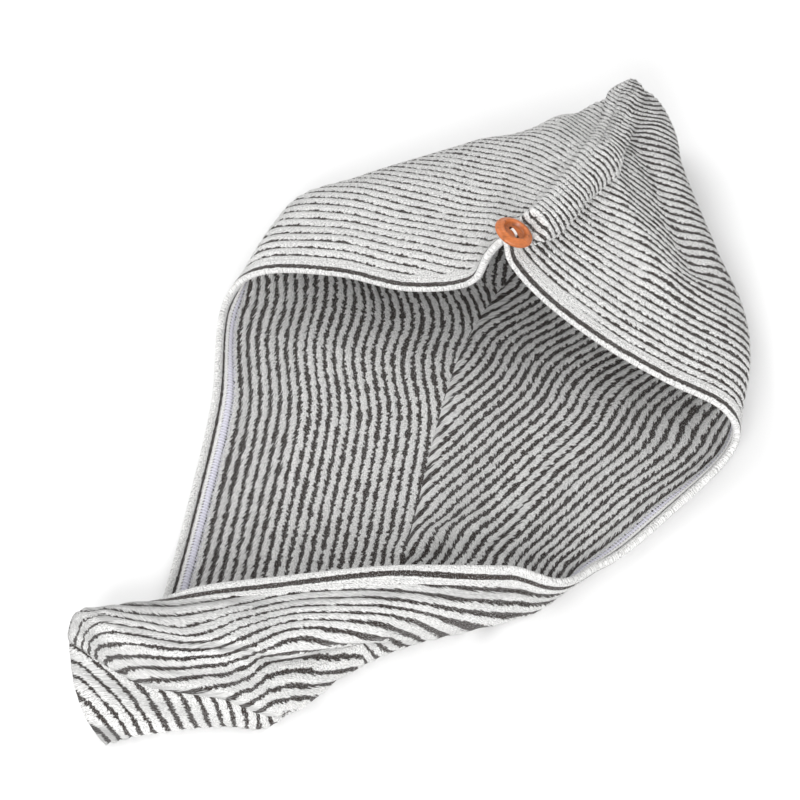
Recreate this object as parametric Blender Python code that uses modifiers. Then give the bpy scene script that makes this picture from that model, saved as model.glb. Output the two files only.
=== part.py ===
"""Hair turban towel, lying open on a flat surface with its tail folded across the front.

Two mirrored panels of ribbed terry are sewn together along one seam. The seam starts at the nape,
under the button, runs up a raised ridge to the peak, turns over the back of the hood, and then
follows the underside to the tip of the tail. Each panel's free edge is a turned hem, and the two
hems bound the opening for the head.

The tables give points as per cent of the three lying sizes, right (+X), away (+Y) and up (+Z) from
a point on the surface under the hood.
"""

from collections import namedtuple

import bpy
import numpy as np
from mathutils import Matrix, Vector

# Driving sizes, in metres
LYING_WIDTH = 0.400
LYING_DEPTH = 0.470
LYING_HEIGHT = 0.100
CLOTH_THICKNESS = 0.0035
HEM_WIDTH = 0.009
HEM_THICKNESS = 0.005
HEM_ROUNDING = 0.0016
SEWN_GAP = 0.0003
RIDGE_RISE = 0.009
RIDGE_HALF_WIDTH = 0.0085
PEAK_DEPTH = 0.014
FOLD_WIDTH = 0.012
FOLD_RISE = 0.006
BUTTON_DIAMETER = 0.024
BUTTON_THICKNESS = 0.005
BUTTON_RIM_WIDTH = 0.0042
BUTTON_HOLLOW = 0.0018
BUTTON_PRESS = 0.003
HOLE_DIAMETER = 0.0026
HOLE_SPACING = 0.0062
THREAD_DIAMETER = 0.0018

PER_CENT = 0.01
LYING_SIZE = np.array([LYING_WIDTH, LYING_DEPTH, LYING_HEIGHT])

# The seam, from the peak over the back of the hood and along the underside to the tail's end.
# One row for each section of the towel.
Point = namedtuple("Point", "right away up")
SEAM = [
    Point(35.7, 40.6, 68),
    Point(37.7, 45.2, 44),
    Point(37.2, 44.4, 13),
    Point(31.6, 37.5, 0),
    Point(23.7, 28.3, 0),
    Point(16.0, 19.3, 0),
    Point(9.6, 8.3, 0),
    Point(5.5, -4.6, 0),
    Point(2.2, -18.8, 0),
    Point(-1.0, -31.4, 0),
    Point(-9.4, -39.2, 2),
    Point(-16.2, -47.2, 9),
    Point(-26.5, -48.7, 24),
    Point(-35.0, -47.5, 28),
    Point(-44.8, -42.3, 31),
]

# Each panel, from its free edge to the seam, one row for each section.
Section = namedtuple("Section", "edge roof crest bend foot")
LEFT_PANEL = [
    Section((14.9, 8.5, 94), (20.7, 12.3, 91), (25.8, 18.9, 88), (29.9, 25.3, 84), (33.2, 32.7, 77)),
    Section((12.7, 8.3, 82), (17.7, 16.4, 84), (21.9, 23.6, 82), (26.5, 30.3, 77), (30.3, 38.0, 60)),
    Section((10.6, 7.0, 66), (13.4, 16.5, 73), (17.1, 26.5, 70), (22.7, 37.9, 56), (28.9, 42.0, 22)),
    Section((1.6, 7.4, 57), (2.9, 16.8, 63), (5.7, 26.4, 60), (9.7, 35.7, 44), (16.8, 37.3, 10)),
    Section((-9.7, 11.2, 51), (-9.4, 18.8, 55), (-8.3, 25.7, 50), (-5.0, 32.6, 32), (5.5, 31.5, 6)),
    Section((-21.4, 13.1, 42), (-21.0, 18.2, 40), (-19.0, 24.1, 33), (-15.3, 30.3, 18), (-2.4, 23.8, 1)),
    Section((-26.5, 13.4, 20), (-25.0, 13.6, 8), (-19.1, 13.1, 1), (-9.5, 11.1, 0), (0.0, 9.3, 0)),
    Section((-28.0, -1.6, 7), (-26.0, -1.7, 2), (-19.7, -2.3, 0), (-10.7, -3.3, 0), (-2.5, -4.1, 0)),
    Section((-30.3, -16.4, 6), (-28.3, -16.3, 1), (-21.8, -17.1, 0), (-13.0, -17.9, 0), (-5.1, -18.5, 0)),
    Section((-33.0, -30.6, 5), (-31.1, -30.6, 1), (-23.7, -31.1, 0), (-15.2, -31.5, 0), (-7.8, -31.5, 0)),
    Section((-34.4, -35.3, 3), (-31.1, -35.7, 0), (-25.1, -36.6, 0), (-19.2, -37.3, 0), (-13.9, -37.9, 0)),
    Section((-35.7, -39.9, 3), (-32.3, -42.0, 0), (-27.7, -45.4, 0), (-22.4, -48.2, 1), (-18.6, -48.6, 4)),
    Section((-36.9, -44.2, 3), (-34.4, -46.8, 1), (-31.7, -49.0, 1), (-29.1, -50.5, 7), (-27.1, -50.1, 15)),
    Section((-38.4, -46.1, 3), (-37.4, -48.6, 1), (-36.0, -50.9, 3), (-34.7, -51.3, 11), (-34.5, -49.6, 19)),
    Section((-40.1, -47.8, 3), (-39.9, -50.0, 1), (-39.9, -52.3, 4), (-42.1, -50.4, 12), (-43.9, -47.0, 21)),
]
RIGHT_PANEL = [
    LEFT_PANEL[0],
    Section((15.8, 7.1, 84), (23.7, 14.4, 84), (28.6, 21.9, 82), (33.9, 29.4, 77), (39.4, 38.6, 64)),
    Section((20.4, 3.2, 72), (27.7, 9.9, 75), (33.5, 19.9, 73), (39.5, 30.9, 62), (43.3, 38.6, 38)),
    Section((29.7, -3.8, 66), (34.3, 5.4, 69), (39.6, 16.7, 65), (45.1, 27.4, 48), (42.7, 36.6, 15)),
    Section((38.0, -7.3, 56), (41.4, 0.2, 58), (45.6, 9.8, 52), (48.8, 19.4, 34), (42.7, 26.2, 5)),
    Section((46.7, -9.9, 43), (49.1, -6.0, 41), (51.3, 0.0, 32), (50.6, 7.1, 12), (40.4, 9.1, 1)),
    Section((48.8, -11.2, 26), (48.0, -9.8, 13), (43.8, -8.2, 3), (36.3, -6.3, 0), (24.9, -0.8, 0)),
    Section((38.4, -20.8, 12), (37.2, -19.2, 5), (34.2, -17.4, 1), (26.7, -14.9, 0), (16.6, -10.5, 0)),
    Section((28.2, -28.6, 14), (26.9, -27.8, 6), (23.5, -26.4, 1), (17.9, -24.6, 0), (10.1, -21.7, 0)),
    Section((17.3, -33.2, 42), (17.2, -33.7, 27), (15.9, -34.9, 6), (12.2, -34.4, 1), (6.3, -32.8, 0)),
    Section((0.0, -34.9, 54), (-0.1, -37.7, 49), (-0.4, -39.7, 37), (-1.2, -40.1, 14), (-4.7, -40.6, 3)),
    Section((-15.0, -35.9, 51), (-14.8, -39.3, 47), (-14.6, -42.5, 39), (-14.5, -45.1, 25), (-14.1, -46.7, 11)),
    Section((-28.9, -37.3, 46), (-28.3, -40.7, 50), (-27.7, -43.5, 48), (-27.1, -45.6, 40), (-26.8, -47.2, 30)),
    Section((-35.6, -37.3, 22), (-36.5, -37.7, 34), (-37.2, -40.2, 46), (-37.5, -44.3, 48), (-36.5, -46.3, 38)),
    Section((-41.5, -39.6, 5), (-42.1, -38.1, 18), (-42.7, -38.3, 33), (-44.1, -39.6, 38), (-44.8, -41.1, 36)),
]
SECTIONS = {"left": LEFT_PANEL, "right": RIGHT_PANEL}
PARTNER = {"left": "right", "right": "left"}
LAST_SECTION = len(SEAM) - 1
SEAM_COLUMN = len(Section._fields)

# Folds, from one place to another, each place a section and a column of the named panel. A positive
# rise lifts the cloth's outside, and a negative one presses it in. Widths and rises are shares of
# FOLD_WIDTH and FOLD_RISE.
Fold = namedtuple("Fold", "panel start end width rise")
FOLDS = [
    Fold("right", (1.2, 2.2), (3.3, 1.3), 1.1, 0.8),
    Fold("right", (1.6, 3.0), (3.7, 2.0), 1.1, -0.8),
    Fold("right", (8.5, 5.0), (8.0, 4.0), 0.9, -1.3),
    Fold("right", (8.4, 4.0), (8.8, 3.0), 0.8, -0.7),
    Fold("right", (10.2, 2.2), (11.5, 1.8), 0.8, 0.9),
    Fold("right", (10.3, 2.8), (11.3, 2.5), 0.5, -1.0),
    Fold("left", (2.2, 1.4), (4.4, 1.2), 1.6, -0.4),
]

# The way that the ridge's rounded end stands out at the peak
PEAK_FACING = Vector((0.15, 0.45, 0.88)).normalized()

# The button lies on the ridge's start, a part of the way to the second column of section 0
BUTTON_PLACE = 0.2
RIDGE_START = 0.9
BUTTON_FACING = Vector((0.40, 0.08, 0.91)).normalized()
BUTTON_HOLE_LINE = Vector((0.55, -0.82, 0.0))
ARCH = np.linspace(0, np.pi / 2, 4)

# Sampling of a panel. The first section carries the ridge, so its steps are short.
RIDGE_STEPS = [0.0, 0.11, 0.18, 0.28, 0.42, 0.58, 0.78]
STEPS_A_SECTION = 3
PANEL_COLUMNS = 18
FINE_COLUMNS = 141
SEAM_CELL = 0.015
HEM_CELL = 0.1
GAP_SHARE = 1.0
SHARPEST_TURN = np.radians(120)
LEAST_SLANT = 0.35
SEWN_THINNESS = 0.4
PEAK_ROOM = 0.0018
NAPE_ROOM = 0.0022


def placed(point):
    """A table's point in metres. The cloth's middle lies half a thickness above the surface."""
    return np.array(point) * PER_CENT * LYING_SIZE + np.array([0, 0, CLOTH_THICKNESS / 2])


def net(side):
    """The panel's points: a row for each section, a column for each step from edge to seam.

    One column more at each end steers the curves. The one past the seam is the partner's.
    """
    rows = []
    for section, partner_section, seam_point in zip(SECTIONS[side], SECTIONS[PARTNER[side]], SEAM):
        points = [placed(point) for point in section]
        lead = 2 * points[0] - points[1]
        rows.append([lead, *points, placed(seam_point), placed(partner_section[-1])])
    return np.array(rows)


def smooth(points, places):
    """Read smooth curves at places, counted in steps from points[1].

    Each curve runs along the first index. Its knots follow the root of each chord, so that a short
    step beside a long one makes no loop.
    """
    chords = np.sqrt(np.linalg.norm(np.diff(points, axis=0), axis=-1) + 1e-9)
    knots = np.concatenate([np.zeros((1,) + chords.shape[1:]), np.cumsum(chords, axis=0)])
    start = np.clip(np.floor(places).astype(int), 0, len(points) - 4)
    share = (places - start)[:, None]
    k0, k1, k2, k3 = (knots[start + n] for n in range(4))
    p0, p1, p2, p3 = (points[start + n] for n in range(4))
    at = k1 + share * (k2 - k1)

    def mixed(a, b, low, high):
        part = ((at - low) / (high - low))[..., None]
        return a * (1 - part) + b * part

    a1, a2, a3 = mixed(p0, p1, k0, k1), mixed(p1, p2, k1, k2), mixed(p2, p3, k2, k3)
    return mixed(mixed(a1, a2, k0, k2), mixed(a2, a3, k1, k3), k1, k2)


def plain_cloth(side, sections, columns):
    """The cloth's middle without its folds, as an array [section, column, xyz]."""
    sections, columns = np.asarray(sections, float), np.asarray(columns, float)
    rows = smooth(net(side).transpose(1, 0, 2), columns).transpose(1, 0, 2)
    partner_rows = smooth(net(PARTNER[side]).transpose(1, 0, 2), columns).transpose(1, 0, 2)
    # Across the ridge the partner's section steers this one. At the peak the ridge ends, so that
    # fades out over the last column.
    own = np.clip(columns - (SEAM_COLUMN - 1), 0, 1)[None, :, None]
    lead = partner_rows[1:2] * (1 - own) + (2 * rows[:1] - rows[1:2]) * own
    tail = 2 * rows[-1:] - rows[-2:-1]
    return smooth(np.concatenate([lead, rows, tail]), sections)


def facing(side, sections, columns):
    """The direction in which the cloth's outside faces, at the same places."""
    step = 0.02
    near_s, far_s = np.clip(sections - step, 0, None), np.clip(sections + step, None, LAST_SECTION)
    near_c, far_c = np.clip(columns - step, 0, None), np.clip(columns + step, None, SEAM_COLUMN)
    along = plain_cloth(side, far_s, columns) - plain_cloth(side, near_s, columns)
    across = plain_cloth(side, sections, far_c) - plain_cloth(side, sections, near_c)
    normal = np.cross(along, across) * (1 if side == "right" else -1)
    return normal / np.linalg.norm(normal, axis=-1, keepdims=True)


def distance_to_path(points, path):
    """The distance from each point to the nearest part of an open path."""
    nearest = np.full(points.shape[:-1], np.inf)
    for start, end in zip(path[:-1], path[1:]):
        run = end - start
        share = np.clip((points - start) @ run / (run @ run), 0, 1)
        nearest = np.minimum(nearest, np.linalg.norm(points - start - share[..., None] * run, axis=-1))
    return nearest


def fold_path(fold):
    """The points on the plain cloth along a fold."""
    steps = np.linspace(0, 1, 7)
    places = [np.array(fold.start) * (1 - step) + np.array(fold.end) * step for step in steps]
    return np.array([plain_cloth(fold.panel, [place[0]], [place[1]])[0, 0] for place in places])


def button_seat():
    """The middle of the flat seat that the button presses into the cloth."""
    return plain_cloth("left", [0.0], [BUTTON_PLACE])[0, 0]


def cloth(side, sections, columns):
    """The cloth's middle with its ridge, its folds and the button's seat."""
    sections, columns = np.asarray(sections, float), np.asarray(columns, float)
    points = plain_cloth(side, sections, columns)
    normal = facing(side, sections, columns)
    # Where two panels are sewn together they share one direction, so that they stay joined
    partner_normal = facing(PARTNER[side], sections, columns)
    shared = (sections[:, None] == 0) | (columns[None, :] == SEAM_COLUMN)
    normal = np.where(shared[..., None], normal + partner_normal, normal)
    normal /= np.linalg.norm(normal, axis=-1, keepdims=True) + 1e-9
    # At the peak the ridge ends in a round knob, whose cloth faces away from a point inside it
    outward = points - placed(SEAM[0]) + PEAK_DEPTH * np.array(PEAK_FACING)
    outward /= np.linalg.norm(outward, axis=-1, keepdims=True)
    near = np.exp(-(np.linalg.norm(points - placed(SEAM[0]), axis=-1, keepdims=True) / PEAK_DEPTH) ** 2)
    normal = normal * (1 - near) + outward * near
    normal /= np.linalg.norm(normal, axis=-1, keepdims=True)

    ridge = plain_cloth("left", [0.0], np.linspace(RIDGE_START, SEAM_COLUMN, 25))[0]
    rise = RIDGE_RISE * np.exp(-(distance_to_path(points, ridge) / RIDGE_HALF_WIDTH) ** 3)
    for fold in FOLDS:
        away = distance_to_path(points, fold_path(fold)) / (fold.width * FOLD_WIDTH)
        rise = rise + fold.rise * FOLD_RISE * np.exp(-away ** 2)
    points = points + rise[..., None] * normal

    # What stands higher than the button's seat is pressed down to it
    seat, up = button_seat(), np.array(BUTTON_FACING)
    height = (points - seat) @ up
    radius = np.linalg.norm(points - seat - height[..., None] * up, axis=-1)
    pressed = np.clip((BUTTON_DIAMETER / 2 + 2 * BUTTON_PRESS - radius) / BUTTON_PRESS, 0, 1)
    pressed = pressed * pressed * (3 - 2 * pressed) * np.clip(height, 0, None)
    points = points - pressed[..., None] * up
    points[..., 2] = np.maximum(points[..., 2], CLOTH_THICKNESS / 2)
    return points


def panel_sections():
    """The sections at which a panel is sampled."""
    later = np.linspace(1, LAST_SECTION, STEPS_A_SECTION * (LAST_SECTION - 1) + 1)
    return np.array(RIDGE_STEPS + list(later))


def sewn_inset(edge, step, partner_step, thickness):
    """How far a sheet stops short of its sewn edge, so that it doesn't meet its partner.

    Both steps lead away from the edge. Where the cloth turns there, the inner corners of the two
    square edges would meet first, so the inset grows with the turn. It is measured along the step,
    so it also grows where the step leaves the edge at a slant.
    """
    along = np.gradient(edge, axis=0)
    along /= np.linalg.norm(along, axis=-1, keepdims=True) + 1e-9

    def straight_out(way):
        way = way / np.linalg.norm(way, axis=-1, keepdims=True)
        out = way - np.sum(way * along, axis=-1, keepdims=True) * along
        slant = np.linalg.norm(out, axis=-1, keepdims=True)
        return out / (slant + 1e-9), np.maximum(slant[..., 0], LEAST_SLANT)

    (out, slant), (partner_out, _) = straight_out(step), straight_out(partner_step)
    turn = np.arccos(np.clip(-np.sum(out * partner_out, axis=-1), -1, 1))
    inset = GAP_SHARE * SEWN_GAP + SEWN_THINNESS * thickness / 2 * np.tan(np.minimum(turn, SHARPEST_TURN) / 2)
    return inset / slant


def strip(side, begin, finish, shares, thickness):
    """Points at shares of the way across the panel, measured along the cloth from its free edge.

    Without a finish the strip reaches the seam.
    """
    sections, columns = panel_sections(), np.linspace(0, SEAM_COLUMN, FINE_COLUMNS)
    fine, partner = cloth(side, sections, columns), cloth(PARTNER[side], sections, columns)
    at_seam = sewn_inset(fine[:, -1], fine[:, -3] - fine[:, -1], partner[:, -3] - partner[:, -1], thickness)
    at_ridge = sewn_inset(fine[0], fine[1] - fine[0], partner[1] - partner[0], thickness)
    # The cloth is gathered at the ridge's two ends, so it needs more room there
    for end, room in ((fine[0, 0], NAPE_ROOM), (fine[0, -1], PEAK_ROOM)):
        at_ridge += room * np.exp(-(np.linalg.norm(fine[0] - end, axis=-1) / PEAK_DEPTH) ** 2)
    rows, ridge_insets = [], []
    for points, inset in zip(fine, at_seam):
        lengths = np.linalg.norm(np.diff(points, axis=0), axis=-1)
        run = np.concatenate([[0], np.cumsum(lengths)])
        stop = finish if finish else run[-1] - inset
        at = begin + np.array(shares) * (stop - begin)
        rows.append(np.stack([np.interp(at, run, points[:, axis]) for axis in range(3)], axis=-1))
        ridge_insets.append(np.interp(at, run, at_ridge))
    return pushed_in(np.array(rows), ridge_insets[0])


def pushed_in(rows, insets):
    """Draw the first section's rows together, so that each line along the panel starts at its inset."""
    count = len(RIDGE_STEPS) + 1
    for column, inset in enumerate(insets):
        line = rows[:count, column].copy()
        run = np.concatenate([[0], np.cumsum(np.linalg.norm(np.diff(line, axis=0), axis=-1))])
        at = inset + run * (run[-1] - inset) / run[-1]
        rows[:count, column] = np.stack([np.interp(at, run, line[:, axis]) for axis in range(3)], axis=-1)
    return rows


def material(name, colour, roughness):
    made = bpy.data.materials.new(name)
    made.use_nodes = True
    shader = made.node_tree.nodes["Principled BSDF"]
    shader.inputs["Base Color"].default_value = (*colour, 1)
    shader.inputs["Roughness"].default_value = roughness
    shader.inputs["Metallic"].default_value = 0
    made.diffuse_color = (*colour, 1)
    return made


def add(name, data, surface, collection):
    made = bpy.data.objects.new(name, data)
    data.materials.append(surface)
    collection.objects.link(made)
    return made


def add_cloth(name, side, rows, thickness, sewn, surface, collection, rounding=0):
    """An open sheet through rows of points, thickened to both sides and thinner where it is sewn."""
    count, width = rows.shape[:2]
    corner = np.arange(count * width).reshape(count, width)
    quads = np.stack([corner[:-1, :-1], corner[1:, :-1], corner[1:, 1:], corner[:-1, 1:]], axis=-1)
    if side == "left":
        quads = quads[..., ::-1]
    mesh = bpy.data.meshes.new(name)
    mesh.from_pydata(rows.reshape(-1, 3).tolist(), [], quads.reshape(-1, 4).tolist())
    mesh.shade_smooth()
    made = add(name, mesh, surface, collection)
    shell = made.modifiers.new("Cloth", "SOLIDIFY")
    shell.thickness, shell.offset = thickness, 0
    full = made.vertex_groups.new(name="full thickness")
    full.add(corner[~sewn].tolist(), 1.0, "REPLACE")
    shell.vertex_group, shell.thickness_vertex_group = full.name, SEWN_THINNESS
    if rounding:
        edges = made.modifiers.new("Soft edges", "BEVEL")
        edges.width, edges.segments = rounding, 1
        edges.limit_method, edges.angle_limit = "ANGLE", np.radians(50)
    return made


def button_frame():
    """The button's own axes: its underside's middle, with Z the way that it faces."""
    up = BUTTON_FACING
    across = (BUTTON_HOLE_LINE - BUTTON_HOLE_LINE.dot(up) * up).normalized()
    turn = Matrix((across, up.cross(across), up)).transposed().to_4x4()
    base = Vector(button_seat()) + (HEM_THICKNESS / 2 + SEWN_GAP) * up
    return Matrix.Translation(base) @ turn


def add_button(surface, collection, cutters):
    """A turned disc with a round raised rim, pierced by two holes."""
    radius, half_rim = BUTTON_DIAMETER / 2, BUTTON_RIM_WIDTH / 2
    floor = BUTTON_THICKNESS - BUTTON_HOLLOW
    profile = [(0, floor)]
    for turn in np.linspace(np.pi, 0, 9):
        profile.append((radius - half_rim + half_rim * np.cos(turn), floor + BUTTON_HOLLOW * np.sin(turn)))
    lower = BUTTON_HOLLOW * 0.8
    for turn in np.linspace(0, -np.pi / 2, 5):
        profile.append((radius - lower + lower * np.cos(turn), lower + lower * np.sin(turn)))
    profile.append((0, 0))
    mesh = bpy.data.meshes.new("button")
    mesh.from_pydata([(r, 0, z) for r, z in profile], [(n, n + 1) for n in range(len(profile) - 1)], [])
    made = add("button", mesh, surface, collection)
    made.matrix_world = button_frame()
    lathe = made.modifiers.new("Turned", "SCREW")
    lathe.steps = lathe.render_steps = 32
    lathe.use_merge_vertices, lathe.merge_threshold = True, 0.00005
    for name, way in (("hole_near", 1), ("hole_far", -1)):
        bpy.ops.mesh.primitive_cylinder_add(vertices=16, radius=HOLE_DIAMETER / 2, depth=3 * BUTTON_THICKNESS)
        cutter = bpy.context.object
        cutter.name = name
        for home in cutter.users_collection:
            home.objects.unlink(cutter)
        cutters.objects.link(cutter)
        cutter.matrix_world = button_frame() @ Matrix.Translation((way * HOLE_SPACING / 2, 0, 0))
        cutter.hide_render, cutter.display_type = True, "WIRE"
        cut = made.modifiers.new(name, "BOOLEAN")
        cut.object, cut.operation, cut.solver = cutter, "DIFFERENCE", "EXACT"
    return made


def add_thread(surface, collection):
    """Thread up through one hole, over to the other and down through it."""
    half, radius = HOLE_SPACING / 2, THREAD_DIAMETER / 2
    top = BUTTON_THICKNESS - BUTTON_HOLLOW + SEWN_GAP + radius
    bend = half * 0.45
    path = [(-half, 0)]
    path += [(-half + bend * (1 - np.cos(turn)), top - bend * (1 - np.sin(turn))) for turn in ARCH]
    path += [(half - bend * (1 - np.cos(turn)), top - bend * (1 - np.sin(turn))) for turn in ARCH[::-1]]
    path += [(half, 0)]
    curve = bpy.data.curves.new("button_thread", "CURVE")
    curve.dimensions = "3D"
    spline = curve.splines.new("POLY")
    spline.points.add(len(path) - 1)
    for point, (across, up) in zip(spline.points, path):
        point.co = (across, 0, up, 1)
    curve.bevel_depth, curve.bevel_resolution, curve.use_fill_caps = radius, 2, True
    made = add("button_thread", curve, surface, collection)
    made.matrix_world = button_frame()
    return made


def main():
    for item in list(bpy.data.objects):
        bpy.data.objects.remove(item)
    towel = bpy.data.collections.new("hair_turban_towel")
    cutters = bpy.data.collections.new("cutters")
    for collection in (towel, cutters):
        bpy.context.scene.collection.children.link(collection)
    # Short steps beside each sewn edge let the neighbours' thickness stand the same way there
    panel_shares = [0] + list(np.linspace(SEAM_CELL, 1 - SEAM_CELL, PANEL_COLUMNS)) + [1]
    for side in ("left", "right"):
        terry = material(side + "_terry", (0.72, 0.72, 0.71), 0.95)
        rows = strip(side, HEM_WIDTH + 3 * SEWN_GAP, None, panel_shares, CLOTH_THICKNESS)
        sewn = np.zeros(rows.shape[:2], bool)
        sewn[0], sewn[:, -1] = True, True
        add_cloth(side + "_panel", side, rows, CLOTH_THICKNESS, sewn, terry, towel)
        binding = material(side + "_binding", (0.78, 0.78, 0.77), 0.9)
        rows = strip(side, 0, HEM_WIDTH, [0, 1 - HEM_CELL, 1], HEM_THICKNESS)
        sewn = np.zeros(rows.shape[:2], bool)
        sewn[0] = True
        add_cloth(side + "_hem", side, rows, HEM_THICKNESS, sewn, binding, towel, HEM_ROUNDING)
    add_button(material("button_wood", (0.55, 0.17, 0.045), 0.45), towel, cutters)
    add_thread(material("sewing_thread", (0.85, 0.85, 0.84), 0.8), towel)


main()
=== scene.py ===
"""Dresses the hair turban towel: ribbed striped terry, turned hems, overlocked edges and a button.

Run it as a script in Blender. It loads the towel's frame first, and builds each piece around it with
one operator each.
"""

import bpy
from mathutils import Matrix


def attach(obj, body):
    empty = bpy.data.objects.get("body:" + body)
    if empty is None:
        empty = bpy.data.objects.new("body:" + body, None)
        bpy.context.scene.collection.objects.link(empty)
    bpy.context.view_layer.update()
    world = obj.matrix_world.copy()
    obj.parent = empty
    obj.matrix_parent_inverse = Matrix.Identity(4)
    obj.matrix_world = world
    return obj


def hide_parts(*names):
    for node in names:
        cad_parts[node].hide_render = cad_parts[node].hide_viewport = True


bl_info = {
    "name": "Hair Turban Towel",
    "version": (1, 0, 0),
    "blender": (4, 5, 0),
    "location": "View3D > Sidebar > Towel",
    "description": "Builds a ribbed hair turban towel that lies open with its tail folded across",
    "category": "Object",
}

from collections import namedtuple

import bpy
import numpy as np
from mathutils import Matrix, Vector

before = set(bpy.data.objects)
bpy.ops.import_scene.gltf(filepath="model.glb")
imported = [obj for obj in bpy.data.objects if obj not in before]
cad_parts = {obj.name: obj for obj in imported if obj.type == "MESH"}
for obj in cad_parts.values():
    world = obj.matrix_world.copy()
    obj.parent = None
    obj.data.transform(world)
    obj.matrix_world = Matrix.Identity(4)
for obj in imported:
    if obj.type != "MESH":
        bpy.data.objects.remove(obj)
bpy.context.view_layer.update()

# Driving sizes, in metres
LYING_WIDTH = 0.400
LYING_DEPTH = 0.470
LYING_HEIGHT = 0.100
CLOTH_THICKNESS = 0.0035
HEM_THICKNESS = 0.005
SEWN_GAP = 0.0003
RIDGE_RISE = 0.009
RIDGE_HALF_WIDTH = 0.0085
PEAK_DEPTH = 0.014
FOLD_WIDTH = 0.012
FOLD_RISE = 0.006
BUTTON_DIAMETER = 0.024
BUTTON_THICKNESS = 0.005
BUTTON_PRESS = 0.003
HOLE_DIAMETER = 0.0026
HOLE_SPACING = 0.0062

PER_CENT = 0.01
LYING_SIZE = np.array([LYING_WIDTH, LYING_DEPTH, LYING_HEIGHT])

# The seam, from the peak over the back of the hood and along the underside to the tail's end.
# One row for each section of the towel.
Point = namedtuple("Point", "right away up")
SEAM = [
    Point(35.7, 40.6, 68),
    Point(37.7, 45.2, 44),
    Point(37.2, 44.4, 13),
    Point(31.6, 37.5, 0),
    Point(23.7, 28.3, 0),
    Point(16.0, 19.3, 0),
    Point(9.6, 8.3, 0),
    Point(5.5, -4.6, 0),
    Point(2.2, -18.8, 0),
    Point(-1.0, -31.4, 0),
    Point(-9.4, -39.2, 2),
    Point(-16.2, -47.2, 9),
    Point(-26.5, -48.7, 24),
    Point(-35.0, -47.5, 28),
    Point(-44.8, -42.3, 31),
]

# Each panel, from its free edge to the seam, one row for each section.
Section = namedtuple("Section", "edge roof crest bend foot")
LEFT_PANEL = [
    Section((14.9, 8.5, 94), (20.7, 12.3, 91), (25.8, 18.9, 88), (29.9, 25.3, 84), (33.2, 32.7, 77)),
    Section((12.7, 8.3, 82), (17.7, 16.4, 84), (21.9, 23.6, 82), (26.5, 30.3, 77), (30.3, 38.0, 60)),
    Section((10.6, 7.0, 66), (13.4, 16.5, 73), (17.1, 26.5, 70), (22.7, 37.9, 56), (28.9, 42.0, 22)),
    Section((1.6, 7.4, 57), (2.9, 16.8, 63), (5.7, 26.4, 60), (9.7, 35.7, 44), (16.8, 37.3, 10)),
    Section((-9.7, 11.2, 51), (-9.4, 18.8, 55), (-8.3, 25.7, 50), (-5.0, 32.6, 32), (5.5, 31.5, 6)),
    Section((-21.4, 13.1, 42), (-21.0, 18.2, 40), (-19.0, 24.1, 33), (-15.3, 30.3, 18), (-2.4, 23.8, 1)),
    Section((-26.5, 13.4, 20), (-25.0, 13.6, 8), (-19.1, 13.1, 1), (-9.5, 11.1, 0), (0.0, 9.3, 0)),
    Section((-28.0, -1.6, 7), (-26.0, -1.7, 2), (-19.7, -2.3, 0), (-10.7, -3.3, 0), (-2.5, -4.1, 0)),
    Section((-30.3, -16.4, 6), (-28.3, -16.3, 1), (-21.8, -17.1, 0), (-13.0, -17.9, 0), (-5.1, -18.5, 0)),
    Section((-33.0, -30.6, 5), (-31.1, -30.6, 1), (-23.7, -31.1, 0), (-15.2, -31.5, 0), (-7.8, -31.5, 0)),
    Section((-34.4, -35.3, 3), (-31.1, -35.7, 0), (-25.1, -36.6, 0), (-19.2, -37.3, 0), (-13.9, -37.9, 0)),
    Section((-35.7, -39.9, 3), (-32.3, -42.0, 0), (-27.7, -45.4, 0), (-22.4, -48.2, 1), (-18.6, -48.6, 4)),
    Section((-36.9, -44.2, 3), (-34.4, -46.8, 1), (-31.7, -49.0, 1), (-29.1, -50.5, 7), (-27.1, -50.1, 15)),
    Section((-38.4, -46.1, 3), (-37.4, -48.6, 1), (-36.0, -50.9, 3),
            (-34.7, -51.3, 11), (-34.5, -49.6, 19)),
    Section((-40.1, -47.8, 3), (-39.9, -50.0, 1), (-39.9, -52.3, 4),
            (-42.1, -50.4, 12), (-43.9, -47.0, 21)),
]
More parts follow.
